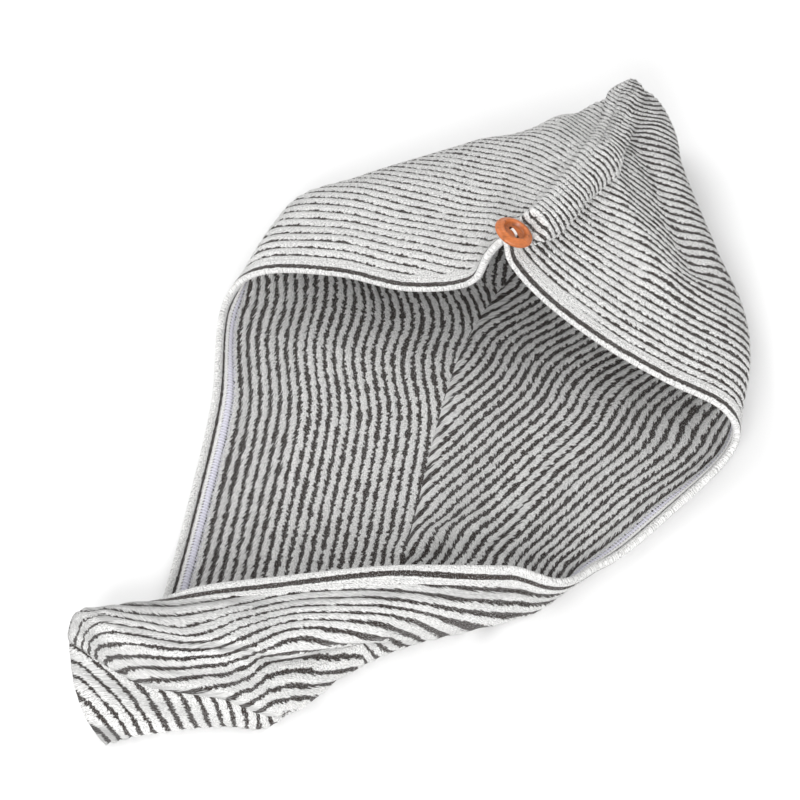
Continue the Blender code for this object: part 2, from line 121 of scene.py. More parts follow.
RIGHT_PANEL = [
    LEFT_PANEL[0],
    Section((15.8, 7.1, 84), (23.7, 14.4, 84), (28.6, 21.9, 82), (33.9, 29.4, 77), (39.4, 38.6, 64)),
    Section((20.4, 3.2, 72), (27.7, 9.9, 75), (33.5, 19.9, 73), (39.5, 30.9, 62), (43.3, 38.6, 38)),
    Section((29.7, -3.8, 66), (34.3, 5.4, 69), (39.6, 16.7, 65), (45.1, 27.4, 48), (42.7, 36.6, 15)),
    Section((38.0, -7.3, 56), (41.4, 0.2, 58), (45.6, 9.8, 52), (48.8, 19.4, 34), (42.7, 26.2, 5)),
    Section((46.7, -9.9, 43), (49.1, -6.0, 41), (51.3, 0.0, 32), (50.6, 7.1, 12), (40.4, 9.1, 1)),
    Section((48.8, -11.2, 26), (48.0, -9.8, 13), (43.8, -8.2, 3), (36.3, -6.3, 0), (24.9, -0.8, 0)),
    Section((38.4, -20.8, 12), (37.2, -19.2, 5), (34.2, -17.4, 1), (26.7, -14.9, 0), (16.6, -10.5, 0)),
    Section((28.2, -28.6, 14), (26.9, -27.8, 6), (23.5, -26.4, 1), (17.9, -24.6, 0), (10.1, -21.7, 0)),
    Section((17.3, -33.2, 42), (17.2, -33.7, 27), (15.9, -34.9, 6), (12.2, -34.4, 1), (6.3, -32.8, 0)),
    Section((0.0, -34.9, 54), (-0.1, -37.7, 49), (-0.4, -39.7, 37), (-1.2, -40.1, 14), (-4.7, -40.6, 3)),
    Section((-15.0, -35.9, 51), (-14.8, -39.3, 47), (-14.6, -42.5, 39),
            (-14.5, -45.1, 25), (-14.1, -46.7, 11)),
    Section((-28.9, -37.3, 46), (-28.3, -40.7, 50), (-27.7, -43.5, 48),
            (-27.1, -45.6, 40), (-26.8, -47.2, 30)),
    Section((-35.6, -37.3, 22), (-36.5, -37.7, 34), (-37.2, -40.2, 46),
            (-37.5, -44.3, 48), (-36.5, -46.3, 38)),
    Section((-41.5, -39.6, 5), (-42.1, -38.1, 18), (-42.7, -38.3, 33),
            (-44.1, -39.6, 38), (-44.8, -41.1, 36)),
]
SECTIONS = {"left": LEFT_PANEL, "right": RIGHT_PANEL}
PARTNER = {"left": "right", "right": "left"}
LAST_SECTION = len(SEAM) - 1
SEAM_COLUMN = len(Section._fields)

# Folds, from one place to another, each place a section and a column of the named panel. A positive
# rise lifts the cloth's outside, and a negative one presses it in. Widths and rises are shares of
# FOLD_WIDTH and FOLD_RISE.
Fold = namedtuple("Fold", "panel start end width rise")
FOLDS = [
    Fold("right", (1.2, 2.2), (3.3, 1.3), 1.1, 0.8),
    Fold("right", (1.6, 3.0), (3.7, 2.0), 1.1, -0.8),
    Fold("right", (8.5, 5.0), (8.0, 4.0), 0.9, -1.3),
    Fold("right", (8.4, 4.0), (8.8, 3.0), 0.8, -0.7),
    Fold("right", (10.2, 2.2), (11.5, 1.8), 0.8, 0.9),
    Fold("right", (10.3, 2.8), (11.3, 2.5), 0.5, -1.0),
    Fold("left", (2.2, 1.4), (4.4, 1.2), 1.6, -0.4),
]

# The way that the ridge's rounded end stands out at the peak
PEAK_FACING = Vector((0.15, 0.45, 0.88)).normalized()

# The button lies on the ridge's start, a part of the way to the second column of section 0
BUTTON_PLACE = 0.2
RIDGE_START = 0.9
BUTTON_FACING = Vector((0.40, 0.08, 0.91)).normalized()
BUTTON_HOLE_LINE = Vector((0.55, -0.82, 0.0))


def placed(point):
    """A table's point in metres. The cloth's middle lies half a thickness above the surface."""
    return np.array(point) * PER_CENT * LYING_SIZE + np.array([0, 0, CLOTH_THICKNESS / 2])


def net(side):
    """The panel's points: a row for each section, a column for each step from edge to seam.

    One column more at each end steers the curves. The one past the seam is the partner's.
    """
    rows = []
    for section, partner_section, seam_point in zip(SECTIONS[side], SECTIONS[PARTNER[side]], SEAM):
        points = [placed(point) for point in section]
        lead = 2 * points[0] - points[1]
        rows.append([lead, *points, placed(seam_point), placed(partner_section[-1])])
    return np.array(rows)


def smooth(points, places):
    """Read smooth curves at places, counted in steps from points[1].

    Each curve runs along the first index. Its knots follow the root of each chord, so that a short
    step beside a long one makes no loop.
    """
    chords = np.sqrt(np.linalg.norm(np.diff(points, axis=0), axis=-1) + 1e-9)
    knots = np.concatenate([np.zeros((1,) + chords.shape[1:]), np.cumsum(chords, axis=0)])
    start = np.clip(np.floor(places).astype(int), 0, len(points) - 4)
    share = (places - start)[:, None]
    k0, k1, k2, k3 = (knots[start + n] for n in range(4))
    p0, p1, p2, p3 = (points[start + n] for n in range(4))
    at = k1 + share * (k2 - k1)

    def mixed(a, b, low, high):
        part = ((at - low) / (high - low))[..., None]
        return a * (1 - part) + b * part

    a1, a2, a3 = mixed(p0, p1, k0, k1), mixed(p1, p2, k1, k2), mixed(p2, p3, k2, k3)
    return mixed(mixed(a1, a2, k0, k2), mixed(a2, a3, k1, k3), k1, k2)


def plain_cloth(side, sections, columns):
    """The cloth's middle without its folds, as an array [section, column, xyz]."""
    sections, columns = np.asarray(sections, float), np.asarray(columns, float)
    rows = smooth(net(side).transpose(1, 0, 2), columns).transpose(1, 0, 2)
    partner_rows = smooth(net(PARTNER[side]).transpose(1, 0, 2), columns).transpose(1, 0, 2)
    # Across the ridge the partner's section steers this one. At the peak the ridge ends, so that
    # fades out over the last column.
    own = np.clip(columns - (SEAM_COLUMN - 1), 0, 1)[None, :, None]
    lead = partner_rows[1:2] * (1 - own) + (2 * rows[:1] - rows[1:2]) * own
    tail = 2 * rows[-1:] - rows[-2:-1]
    return smooth(np.concatenate([lead, rows, tail]), sections)


def facing(side, sections, columns):
    """The direction in which the cloth's outside faces, at the same places."""
    step = 0.02
    near_s, far_s = np.clip(sections - step, 0, None), np.clip(sections + step, None, LAST_SECTION)
    near_c, far_c = np.clip(columns - step, 0, None), np.clip(columns + step, None, SEAM_COLUMN)
    along = plain_cloth(side, far_s, columns) - plain_cloth(side, near_s, columns)
    across = plain_cloth(side, sections, far_c) - plain_cloth(side, sections, near_c)
    normal = np.cross(along, across) * (1 if side == "right" else -1)
    return normal / np.linalg.norm(normal, axis=-1, keepdims=True)


def distance_to_path(points, path):
    """The distance from each point to the nearest part of an open path."""
    nearest = np.full(points.shape[:-1], np.inf)
    for start, end in zip(path[:-1], path[1:]):
        run = end - start
        share = np.clip((points - start) @ run / (run @ run), 0, 1)
        nearest = np.minimum(nearest, np.linalg.norm(points - start - share[..., None] * run, axis=-1))
    return nearest


def fold_path(fold):
    """The points on the plain cloth along a fold."""
    steps = np.linspace(0, 1, 7)
    places = [np.array(fold.start) * (1 - step) + np.array(fold.end) * step for step in steps]
    return np.array([plain_cloth(fold.panel, [place[0]], [place[1]])[0, 0] for place in places])


def button_seat():
    """The middle of the flat seat that the button presses into the cloth."""
    return plain_cloth("left", [0.0], [BUTTON_PLACE])[0, 0]


def cloth(side, sections, columns):
    """The cloth's middle with its ridge, its folds and the button's seat."""
    sections, columns = np.asarray(sections, float), np.asarray(columns, float)
    points = plain_cloth(side, sections, columns)
    normal = facing(side, sections, columns)
    # Where two panels are sewn together they share one direction, so that they stay joined
    partner_normal = facing(PARTNER[side], sections, columns)
    shared = (sections[:, None] == 0) | (columns[None, :] == SEAM_COLUMN)
    normal = np.where(shared[..., None], normal + partner_normal, normal)
    normal /= np.linalg.norm(normal, axis=-1, keepdims=True) + 1e-9
    # At the peak the ridge ends in a round knob, whose cloth faces away from a point inside it
    outward = points - placed(SEAM[0]) + PEAK_DEPTH * np.array(PEAK_FACING)
    outward /= np.linalg.norm(outward, axis=-1, keepdims=True)
    near = np.exp(-(np.linalg.norm(points - placed(SEAM[0]), axis=-1, keepdims=True) / PEAK_DEPTH) ** 2)
    normal = normal * (1 - near) + outward * near
    normal /= np.linalg.norm(normal, axis=-1, keepdims=True)

    ridge = plain_cloth("left", [0.0], np.linspace(RIDGE_START, SEAM_COLUMN, 25))[0]
    rise = RIDGE_RISE * np.exp(-(distance_to_path(points, ridge) / RIDGE_HALF_WIDTH) ** 3)
    for fold in FOLDS:
        away = distance_to_path(points, fold_path(fold)) / (fold.width * FOLD_WIDTH)
        rise = rise + fold.rise * FOLD_RISE * np.exp(-away ** 2)
    points = points + rise[..., None] * normal

    # What stands higher than the button's seat is pressed down to it
    seat, up = button_seat(), np.array(BUTTON_FACING)
    height = (points - seat) @ up
    radius = np.linalg.norm(points - seat - height[..., None] * up, axis=-1)
    pressed = np.clip((BUTTON_DIAMETER / 2 + 2 * BUTTON_PRESS - radius) / BUTTON_PRESS, 0, 1)
    pressed = pressed * pressed * (3 - 2 * pressed) * np.clip(height, 0, None)
    points = points - pressed[..., None] * up
    points[..., 2] = np.maximum(points[..., 2], CLOTH_THICKNESS / 2)
    return points


# The stage
FLOOR_HALF = 3.0
CAMERA_DISTANCE = 1.6
CAMERA_ELEVATION = 50
FRAME_WIDTH = 0.48
WORLD_LIGHT = 0.74
# Name, place, width in metres and power in watts
LAMPS = [
    ("key_light", (-0.9, 0.5, 1.6), 1.0, 9),
    ("fill_light", (1.2, -0.9, 1.4), 1.2, 3),
    ("front_light", (-0.2, -1.55, 0.95), 0.9, 22),
]
# Each panel was cut as a tapering piece, for the hood at one end and the tail at the other
# The sewing thread through the button
THREAD_RADIUS = 0.00042

MM_IN_M = 1000

# The stripes and the hem, in millimetres from the panel's free edge: the first stripe, the hem's end,
# and the half widths and the inner place of the broad line in the hem
FIRST_LINE = 12.0
HEM_END = 10.9
OUTER_HEM_HALF = 1.6
INNER_HEM_LINE = 4.8
INNER_HEM_HALF = 1.0
# How light the pile is on the inside, as a share of the outside: painted shade on the cloth's inside
INSIDE_SHADE = 0.95
# The section at which the tail starts, and by how many millimetres its lines are finer
TAIL_START = 9.3
TAIL_THINNING = 0.12
# A line's edge: the length of a loop of pile, how far the loops slant, the width over which the edge
# fades, and how far before the first line the stripes begin, in millimetres but for the slant
LOOP_LENGTH = 1.6
LOOP_SLANT = 0.3
EDGE_FADE = 0.35
BEFORE_LINES = 3
# How far the loops and the noise reach into a line, their mean, and how much wilder they are inside
TOOTH_REACH = 0.9
RAGGED_REACH = 1.9
MEAN_REACH = 1.4
INSIDE_WILDNESS = 0.6
RIM_RAGGEDNESS = 0.5
RIM_MEAN = 0.7
# A line's width wanders along it, and in its own way for each line
WANDER_ALONG = 0.11
WANDER_BY_LINE = 3.7
WANDER_REACH = 1.9
# The white ends of yarn on the dark ones: where the noise lets them through, how sharply, how fully
STRAY_FROM = 0.56
STRAY_SHARPNESS = 9.0
STRAY_COVER = 0.75
# The loops of the pile: their scale, scatter and squeeze, the painted shade that darkens the cloth between
# them, and how the cloth sinks between them and in the lines
LOOP_SCALE = 0.85
LOOP_RANDOMNESS = 0.8
LOOP_SQUEEZE = 1.25
CLUMP_SQUEEZE = 0.8
LOOP_TOP_SHADE = 1.14
LOOP_DARKENING = 0.65
LOOP_SINKING = 0.9
TOOTH_RISE = 0.15
LINE_SINKING = 0.8

# Noises: the scale, in waves for each millimetre of cloth, the detail and the roughness
Noise = namedtuple("Noise", "scale detail roughness")
LINE_WANDER = Noise(1.0, 3.0, 0.6)
LINE_RAGGEDNESS = Noise(0.65, 3.0, 0.65)
STRAY_YARN = Noise(1.5, 2.0, 0.6)
FLUFF = Noise(1.1, 3.0, 0.6)
CLUMPS = Noise(0.55, 2.0, 0.55)
CLOUDS = Noise(0.05, 2.0, 0.5)
INK = Noise(0.9, 2.0, 0.5)
TAPE_FUZZ = Noise(1.6, 3.0, 0.6)
TAPE_GRAIN = Noise(0.9, 2.0, 0.6)
# The same for thread and wood, in waves for each metre
THREAD_TWIST = Noise(2600.0, 2.0, 0.5)
WOOD_GRAIN = Noise(260.0, 4.0, 0.65)
WOOD_CLOUDS = Noise(130.0, 2.0, 0.5)
WOOD_SPOTS = Noise(330.0, 1.0, 0.5)

# How a noise shades a colour: its factor, and what is added to it
Shading = namedtuple("Shading", "factor start")
FLUFF_SHADE = Shading(1.3, 0.35)
CLUMP_SHADE = Shading(0.5, 0.75)
CLOUD_SHADE = Shading(0.12, 0.94)
INK_SHADE = Shading(1.8, 0.2)
TWIST_SHADE = Shading(0.5, 0.75)

# How many millimetres each rib lies ahead of its plain distance from the free edge, at the net's
# own columns. The pile is gathered into the ridge, and the left hem cuts off the first ribs below
# the button. A section between two rows takes a share of both.
RibShift = namedtuple("RibShift", "section edge roof crest bend foot seam")
RIB_SHIFTS = {
    "left": [
        RibShift(0, 30, 49, 67, 85, 104, 125),
        RibShift(1, 30, 43, 54, 65, 78, 60),
        RibShift(2, 13, 18, 27, 34, 30, 20),
        RibShift(3, 0, 1, 2, 3, -3, -15),
        RibShift(4, 0, -1, -4, -14, -23, -25),
        RibShift(4.5, 0, -2, -8, -24, -37, -40),
        RibShift(5, 0, -2, -10, -30, -46, -50),
        RibShift(5.25, 0, -1, -6, -18, -30, -34),
        RibShift(5.5, 0, 0, -2, -4, -9, -12),
        RibShift(5.75, 0, 0, 0, 0, -2, -3),
        RibShift(6.5, 0, 0, 0, 0, 0, 0),
        RibShift(11, 0, 0, 0, 0, 1, -1),
        RibShift(11.5, 0, 0, 0, 3, 2, -2),
        RibShift(12, 0, 0, 2, 4, 1, -6),
        RibShift(12.5, 0, 0, 1, 1, -3, -11),
        RibShift(13, 0, 0, 0, -3, -8, -18),
        RibShift(13.25, 0, 0, -3, -7, -14, -21),
        RibShift(13.5, 0, -2, -5, -11, -20, -28),
        RibShift(13.75, 0, -4, -9, -18, -28, -36),
        RibShift(14, 0, -6, -13, -26, -40, -48),
    ],
    "right": [
        RibShift(0, 0, 19, 37, 55, 74, 95),
        RibShift(1, 0, 20, 38, 56, 70, 50),
        RibShift(2, 0, 10, 24, 36, 20, 0),
        RibShift(3, 0, 4, 10, 8, -30, -60),
        RibShift(4, 0, 3, 3, -14, -50, -64),
        RibShift(4.5, 0, 3, 0, -20, -48, -57),
        RibShift(5, 0, 3, -1, -24, -43, -48),
        RibShift(5.25, 0, 2, -3, -20, -31, -33),
        RibShift(5.5, 0, 0, -4, -13, -17, -18),
        RibShift(6.25, 0, 0, -3, -10, -11, -11),
        RibShift(6.5, 0, 0, -2, -6, -7, -8),
        RibShift(7, 0, 0, 0, 0, 0, 0),
        RibShift(8, 0, 0, 0, 5, 4, 1),
        RibShift(8.5, 0, 0, 0, 2, 2, 0),
        RibShift(9, 0, -5, -14, -25, -30, -20),
        RibShift(9.5, 0, 0, -4, -16, -18, -12),
        RibShift(10, 0, 3, 9, -3, -5, -4),
        RibShift(11, 0, 11, 19, 10, 7, -4),
        RibShift(11.5, 0, 0, 5, 6, 4, 1),
        RibShift(12, 0, -2, -4, 5, 7, 4),
        RibShift(12.5, 0, -1, -6, 1, 1, -2),
        RibShift(13, 0, -6, -18, -12, -14, -18),
        RibShift(13.25, 0, -5, -14, -12, -14, -19),
        RibShift(13.5, 0, -5, -13, -14, -12, -17),
        RibShift(13.75, 0, -5, -15, -18, -22, -25),
        RibShift(14, 0, -5, -16, -22, -33, -38),
    ],
}
SHIFT_EASING = np.linspace(-0.2, 0.2, 5)

# How far the broad line of the outer hem lies from the edge, in millimetres. Where the tail folds
# over, the hem turns up to the viewer and the line is farther in.
RimLine = namedtuple("RimLine", "section centre")
RIM_LINES = {
    "left": [RimLine(0, 3.4), RimLine(14, 3.4)],
    "right": [RimLine(0, 3.4), RimLine(8.2, 3.6), RimLine(8.8, 6.6), RimLine(10, 5.4), RimLine(11, 5.8),
              RimLine(11.5, 7.0), RimLine(12, 8.2), RimLine(12.6, 7.0), RimLine(13.2, 4.0),
              RimLine(14, 3.4)],
}

# Where the cloth is eased in plan, to bring its outline nearer the photograph's: a place, the reach
# over which the move fades, and the move to the right and away from the viewer, in millimetres
Ease = namedtuple("Ease", "x y reach right away")
EASES = [
    Ease(118, 184, 34, 0, 10),
    Ease(166, 198, 24, 0, 9),
    Ease(76, 176, 30, 0, -6),
    Ease(-64, -222, 34, 0, -9),
    Ease(88, -150, 30, 0, -8),
    Ease(188, 112, 70, -5, 0),
]

# The hem's outline across the rim: the distance from the edge and the height over the cloth's
# middle, both in millimetres, from the outside round the edge to the inside
HemPoint = namedtuple("HemPoint", "across height")
HEM_OUTLINE = [
    HemPoint(9.8, 1.0),
    HemPoint(8.6, 2.1),
    HemPoint(7.2, 2.5),
    HemPoint(6.5, 2.3),
    HemPoint(5.8, 1.8),
    HemPoint(4.6, 1.8),
    HemPoint(3.9, 2.3),
    HemPoint(2.8, 2.5),
    HemPoint(1.5, 2.2),
    HemPoint(0.6, 1.5),
    HemPoint(0.1, 0.6),
    HemPoint(0.1, -0.6),
    HemPoint(0.6, -1.5),
    HemPoint(1.5, -2.2),
    HemPoint(2.8, -2.5),
    HemPoint(3.9, -2.3),
    HemPoint(4.6, -1.8),
    HemPoint(5.8, -1.8),
    HemPoint(6.5, -2.3),
    HemPoint(8.6, -2.1),
    HemPoint(9.8, -1.0),
]
# The overlocked tape on the inside, in the same measures
TAPE_OUTLINE = [
    HemPoint(5.9, -2.1),
    HemPoint(6.6, -2.6),
    HemPoint(8.0, -2.8),
    HemPoint(9.8, -2.7),
    HemPoint(11.6, -2.5),
    HemPoint(12.8, -2.1),
    HemPoint(11.6, -1.5),
    HemPoint(8.0, -1.6),
]
STITCH_ACROSS = 11.0
STITCH_HEIGHT = -2.5
TAPE_DASHES = 8.6

# The button's outline: shares of its radius and of its thickness, from the middle of its face out
# over the ring and the bevelled edge and back in below
ButtonPoint = namedtuple("ButtonPoint", "out up")
BUTTON_OUTLINE = [
    ButtonPoint(0.00, 0.42),
    ButtonPoint(0.24, 0.42),
    ButtonPoint(0.44, 0.43),
    ButtonPoint(0.51, 0.47),
    ButtonPoint(0.55, 0.60),
    ButtonPoint(0.58, 0.80),
    ButtonPoint(0.61, 0.94),
    ButtonPoint(0.65, 1.00),
    ButtonPoint(0.70, 1.00),
    ButtonPoint(0.74, 0.95),
    ButtonPoint(0.78, 0.84),
    ButtonPoint(0.84, 0.76),
    ButtonPoint(0.90, 0.70),
    ButtonPoint(0.96, 0.58),
    ButtonPoint(1.00, 0.40),
    ButtonPoint(0.98, 0.22),
    ButtonPoint(0.90, 0.08),
    ButtonPoint(0.80, 0.01),
    ButtonPoint(0.60, 0.00),
    ButtonPoint(0.00, 0.00),
]
BUTTON_STEPS = 80
HOLE_SIDES = 32
SHARP_EDGE = np.radians(50)
# The shade in the button's dish. Its edge and the edge's fade are shares of the radius, its top,
# depth and bottom are shares of the thickness, and the rest says how dark its wall and bottom are.
DISH_EDGE = 0.56
DISH_EDGE_FADE = 0.06
DISH_TOP = 0.95
DISH_DEPTH = 0.3
DISH_BOTTOM = 0.44
WALL_SHADE = 0.40
BOTTOM_SHADE = 0.10
HOLE_REACH = 0.0001

# A strand's course from the button's middle into a hole: the share of the way, and the drop below
# the strand's own level in metres
StrandPoint = namedtuple("StrandPoint", "share drop")
STRAND_COURSE = [
    StrandPoint(0, -0.0002),
    StrandPoint(0.66, 0),
    StrandPoint(0.82, 0.0007),
    StrandPoint(0.84, 0.0021),
]
# Each strand's place beside the middle, in steps of STRAND_STEP radii, and its lift in diameters
Strand = namedtuple("Strand", "beside lift")
STRANDS = [Strand(-0.5, 0.0), Strand(0.5, 0.1), Strand(0.0, 0.7)]
STRAND_STEP = 2.1
# The level at which the strands lie, as a share of the button's thickness
STRAND_LEVEL = 0.43
SEWING_WHITE = (0.86, 0.85, 0.83)


class TowelSettings(bpy.types.PropertyGroup):
    """Sizes and colours of the towel's finish."""

    rib_pitch: bpy.props.FloatProperty(
        name="Rib Pitch", description="Distance from line to line", default=0.006, unit="LENGTH")
    rib_rise: bpy.props.FloatProperty(
        name="Rib Rise", description="Height of a rib over its groove", default=0.0015, unit="LENGTH")
    pile: bpy.props.FloatProperty(
        name="Pile", description="Height of the loops in the relief", default=0.0012, unit="LENGTH")
    outer_line: bpy.props.FloatProperty(
        name="Outer Line", description="Half width of a dark line outside", default=0.00125, unit="LENGTH")
    inner_line: bpy.props.FloatProperty(
        name="Inner Line", description="Half width of a dark line inside", default=0.0013, unit="LENGTH")
    white: bpy.props.FloatVectorProperty(
        name="White Yarn", description="Colour of the ribs", default=(0.80, 0.795, 0.785), subtype="COLOR")
    dark: bpy.props.FloatVectorProperty(
        name="Dark Yarn", description="Colour of the lines", default=(0.035, 0.026, 0.022), subtype="COLOR")
    tape: bpy.props.FloatVectorProperty(
        name="Overlock Thread", description="Colour of the edge stitching", default=(0.74, 0.73, 0.82),
        subtype="COLOR")
    wood: bpy.props.FloatVectorProperty(
        name="Button Wood", description="Main colour of the button", default=(0.60, 0.165, 0.036),
        subtype="COLOR")
    stitch_spacing: bpy.props.FloatProperty(
        name="Stitch Spacing", description="Distance from stitch to stitch", default=0.0021, unit="LENGTH")
    floor: bpy.props.FloatVectorProperty(
        name="Floor", description="Colour of the surface below", default=(0.98, 0.98, 0.98),
        subtype="COLOR")


# Shader nodes
class Wiring:
    """Adds nodes to a tree. An input may be a value or another node's output."""

    def __init__(self, tree):
        self.tree = tree

    def node(self, kind, inputs=None, **settings):
        made = self.tree.nodes.new(kind)
        for name, value in settings.items():
            setattr(made, name, value)
        for name, value in (inputs or {}).items():
            self.feed(made.inputs[name], value)
        return made

    def feed(self, socket, value):
        if isinstance(value, bpy.types.NodeSocket):
            self.tree.links.new(value, socket)
        else:
            socket.default_value = value

    def math(self, operation, *values, clamp=False):
        made = self.tree.nodes.new("ShaderNodeMath")
        made.operation, made.use_clamp = operation, clamp
        for socket, value in zip(made.inputs, values):
            self.feed(socket, value)
        return made.outputs[0]

    def scaled(self, value, factor, start, clamp=False):
        """A value times a factor, plus a start."""
        return self.math("ADD", self.math("MULTIPLY", value, factor), start, clamp=clamp)

    def mix(self, share, first, second):
        """A colour between two colours."""
        made = self.node("ShaderNodeMix", data_type="RGBA", clamp_factor=True)
        for socket, value in zip((made.inputs[0], made.inputs[6], made.inputs[7]), (share, first, second)):
            self.feed(socket, value)
        return made.outputs[2]

    def spot(self, x, y, z=0.0):
        return self.node("ShaderNodeCombineXYZ", {"X": x, "Y": y, "Z": z}).outputs[0]

    def noise(self, place, scale, detail=2.0, roughness=0.5):
        made = self.node("ShaderNodeTexNoise", {
            "Vector": place, "Scale": scale, "Detail": detail, "Roughness": roughness})
        return made.outputs["Fac"]

    def between(self, share, first, second):
        """A number between two numbers."""
        return self.node("ShaderNodeMix", {0: share, 2: first, 3: second}).outputs[0]

    def shaded(self, colour, shade):
        """A colour made lighter or darker."""
        made = self.node("ShaderNodeVectorMath", {0: colour, 1: self.spot(shade, shade, shade)},
                         operation="MULTIPLY")
        return made.outputs[0]


def new_group(name, inputs, outputs):
    """A shader node group with named sockets. Each is (name, kind, default)."""
    group = bpy.data.node_groups.new(name, "ShaderNodeTree")
    for label, kind, default in inputs:
        socket = group.interface.new_socket(name=label, in_out="INPUT", socket_type=kind)
        if default is not None:
            socket.default_value = default
    for label, kind in outputs:
        group.interface.new_socket(name=label, in_out="OUTPUT", socket_type=kind)
    return group, group.nodes.new("NodeGroupInput").outputs, group.nodes.new("NodeGroupOutput").inputs


def striped(w, given, x, y, ribs):
    """The dark lines between the ribs, the raggedness of their edges, and each loop's own reach."""
    count = w.math("DIVIDE", w.math("SUBTRACT", ribs, FIRST_LINE), given["Pitch"])
    line = w.math("ROUND", count)
    away = w.math("SUBTRACT", count, line)
    distance = w.math("MULTIPLY", w.math("ABSOLUTE", away), given["Pitch"])
    # Each loop reaches its own way into the line, so the line's two sides are toothed
    bank = w.scaled(line, 2.0, w.math("GREATER_THAN", away, 0.0))
    loop = w.math("FLOOR", w.math("DIVIDE", w.scaled(y, LOOP_SLANT, x), LOOP_LENGTH))
    tooth = w.node("ShaderNodeTexWhiteNoise", {"Vector": w.spot(loop, bank)}, noise_dimensions="2D")
    tooth = tooth.outputs["Value"]
    ragged = w.noise(w.spot(x, y), *LINE_RAGGEDNESS)
    raggedness = w.scaled(tooth, TOOTH_REACH, w.math("MULTIPLY", ragged, RAGGED_REACH))
    way = w.spot(w.math("MULTIPLY", x, WANDER_ALONG), w.math("MULTIPLY", line, WANDER_BY_LINE))
    wander = w.math("MULTIPLY", w.noise(way, *LINE_WANDER), WANDER_REACH)
    half = w.math("MULTIPLY", w.between(given["Inside"], given["Outer Half"], given["Inner Half"]), wander)
    wilder = w.scaled(given["Inside"], INSIDE_WILDNESS, 1.0)
    reach = w.scaled(w.math("SUBTRACT", raggedness, MEAN_REACH), wilder, half)
    # Thinning narrows the lines: painted light where the cloth faces the light, and finer lines in the tail
    reach = w.math("SUBTRACT", reach, given["Thinning"])
    stripe = w.math("DIVIDE", w.math("SUBTRACT", reach, distance), EDGE_FADE)
    stripe = w.math("ADD", stripe, 0.5, clamp=True)
    stripe = w.math("MULTIPLY", stripe, w.math("GREATER_THAN", ribs, FIRST_LINE - BEFORE_LINES))
    return stripe, raggedness, tooth


def rimmed(w, given, y, raggedness):
    """The broad line that runs round the rim in the hem."""
    centre = w.between(given["Inside"], given["Rim"], INNER_HEM_LINE)
    half = w.between(given["Inside"], OUTER_HEM_HALF, INNER_HEM_HALF)
    half = w.scaled(raggedness, RIM_RAGGEDNESS, half)
    away = w.math("ABSOLUTE", w.math("SUBTRACT", y, centre))
    inside = w.math("SUBTRACT", half, w.math("ADD", away, RIM_MEAN))
    return w.math("ADD", w.math("DIVIDE", inside, EDGE_FADE), 0.5, clamp=True)


def strayed(w, x, y, dark):
    """The dark lines with the white ends of yarn that lie across them here and there."""
    stray = w.noise(w.spot(x, w.math("MULTIPLY", y, CLUMP_SQUEEZE)), *STRAY_YARN)
    stray = w.math("MULTIPLY", w.math("SUBTRACT", stray, STRAY_FROM), STRAY_SHARPNESS, clamp=True)
    return w.math("MULTIPLY", dark, w.math("SUBTRACT", 1.0, w.math("MULTIPLY", stray, STRAY_COVER)))


def piled(w, given, x, y):
    """The pile: its shade, its loops and its fluff."""
    loops = w.node("ShaderNodeTexVoronoi", {
        "Vector": w.spot(x, w.math("MULTIPLY", y, LOOP_SQUEEZE)), "Scale": LOOP_SCALE,
        "Randomness": LOOP_RANDOMNESS}, voronoi_dimensions="2D").outputs["Distance"]
    fluff = w.noise(w.spot(x, y), *FLUFF)
    clumps = w.noise(w.spot(x, w.math("MULTIPLY", y, CLUMP_SQUEEZE)), *CLUMPS)
    clouds = w.noise(w.spot(x, y), *CLOUDS)
    # The pile is painted darker between its loops: painted shade
    painted_loop_shade = w.math("MULTIPLY", w.math("MULTIPLY", loops, loops), LOOP_DARKENING)
    shade = w.math("SUBTRACT", LOOP_TOP_SHADE, painted_loop_shade)
    for noise, shading in ((fluff, FLUFF_SHADE), (clumps, CLUMP_SHADE), (clouds, CLOUD_SHADE)):
        shade = w.math("MULTIPLY", shade, w.scaled(noise, *shading))
    # The inside of the cloth is painted darker, as painted shade
    shade = w.math("MULTIPLY", shade, w.between(given["Inside"], 1.0, INSIDE_SHADE))
    return shade, loops, fluff


def terry_group():
    """The striped pile: its colour, and its relief as a height."""
    if "Striped Terry" in bpy.data.node_groups:
        return bpy.data.node_groups["Striped Terry"]
    group, given, result = new_group(
        "Striped Terry",
        [("Along", "NodeSocketFloat", 0.0), ("Across", "NodeSocketFloat", 0.0),
         ("Ribs", "NodeSocketFloat", 0.0), ("Rim", "NodeSocketFloat", 3.4),
         ("Inside", "NodeSocketFloat", 0.0), ("Thinning", "NodeSocketFloat", 0.0),
         ("Pitch", "NodeSocketFloat", 6.0),
         ("Outer Half", "NodeSocketFloat", 0.7), ("Inner Half", "NodeSocketFloat", 1.2),
         ("White", "NodeSocketColor", (0.8, 0.8, 0.8, 1)),
         ("Dark", "NodeSocketColor", (0.03, 0.03, 0.03, 1))],
        [("Color", "NodeSocketColor"), ("Height", "NodeSocketFloat")])
    w = Wiring(group)
    x, y, ribs = (w.math("MULTIPLY", given[label], MM_IN_M) for label in ("Along", "Across", "Ribs"))
    stripe, raggedness, tooth = striped(w, given, x, y, ribs)
    in_hem = w.math("LESS_THAN", y, HEM_END)
    dark = strayed(w, x, y, w.between(in_hem, stripe, rimmed(w, given, y, raggedness)))
    shade, loops, fluff = piled(w, given, x, y)
    ink = w.scaled(w.noise(w.spot(x, y), *INK), *INK_SHADE)
    w.feed(result["Color"], w.mix(dark, w.shaded(given["White"], shade), w.shaded(given["Dark"], ink)))
    height = w.scaled(tooth, TOOTH_RISE, fluff)
    height = w.math("SUBTRACT", height, w.math("MULTIPLY", loops, LOOP_SINKING))
    w.feed(result["Height"], w.math("SUBTRACT", height, w.math("MULTIPLY", dark, LINE_SINKING)))
    return group


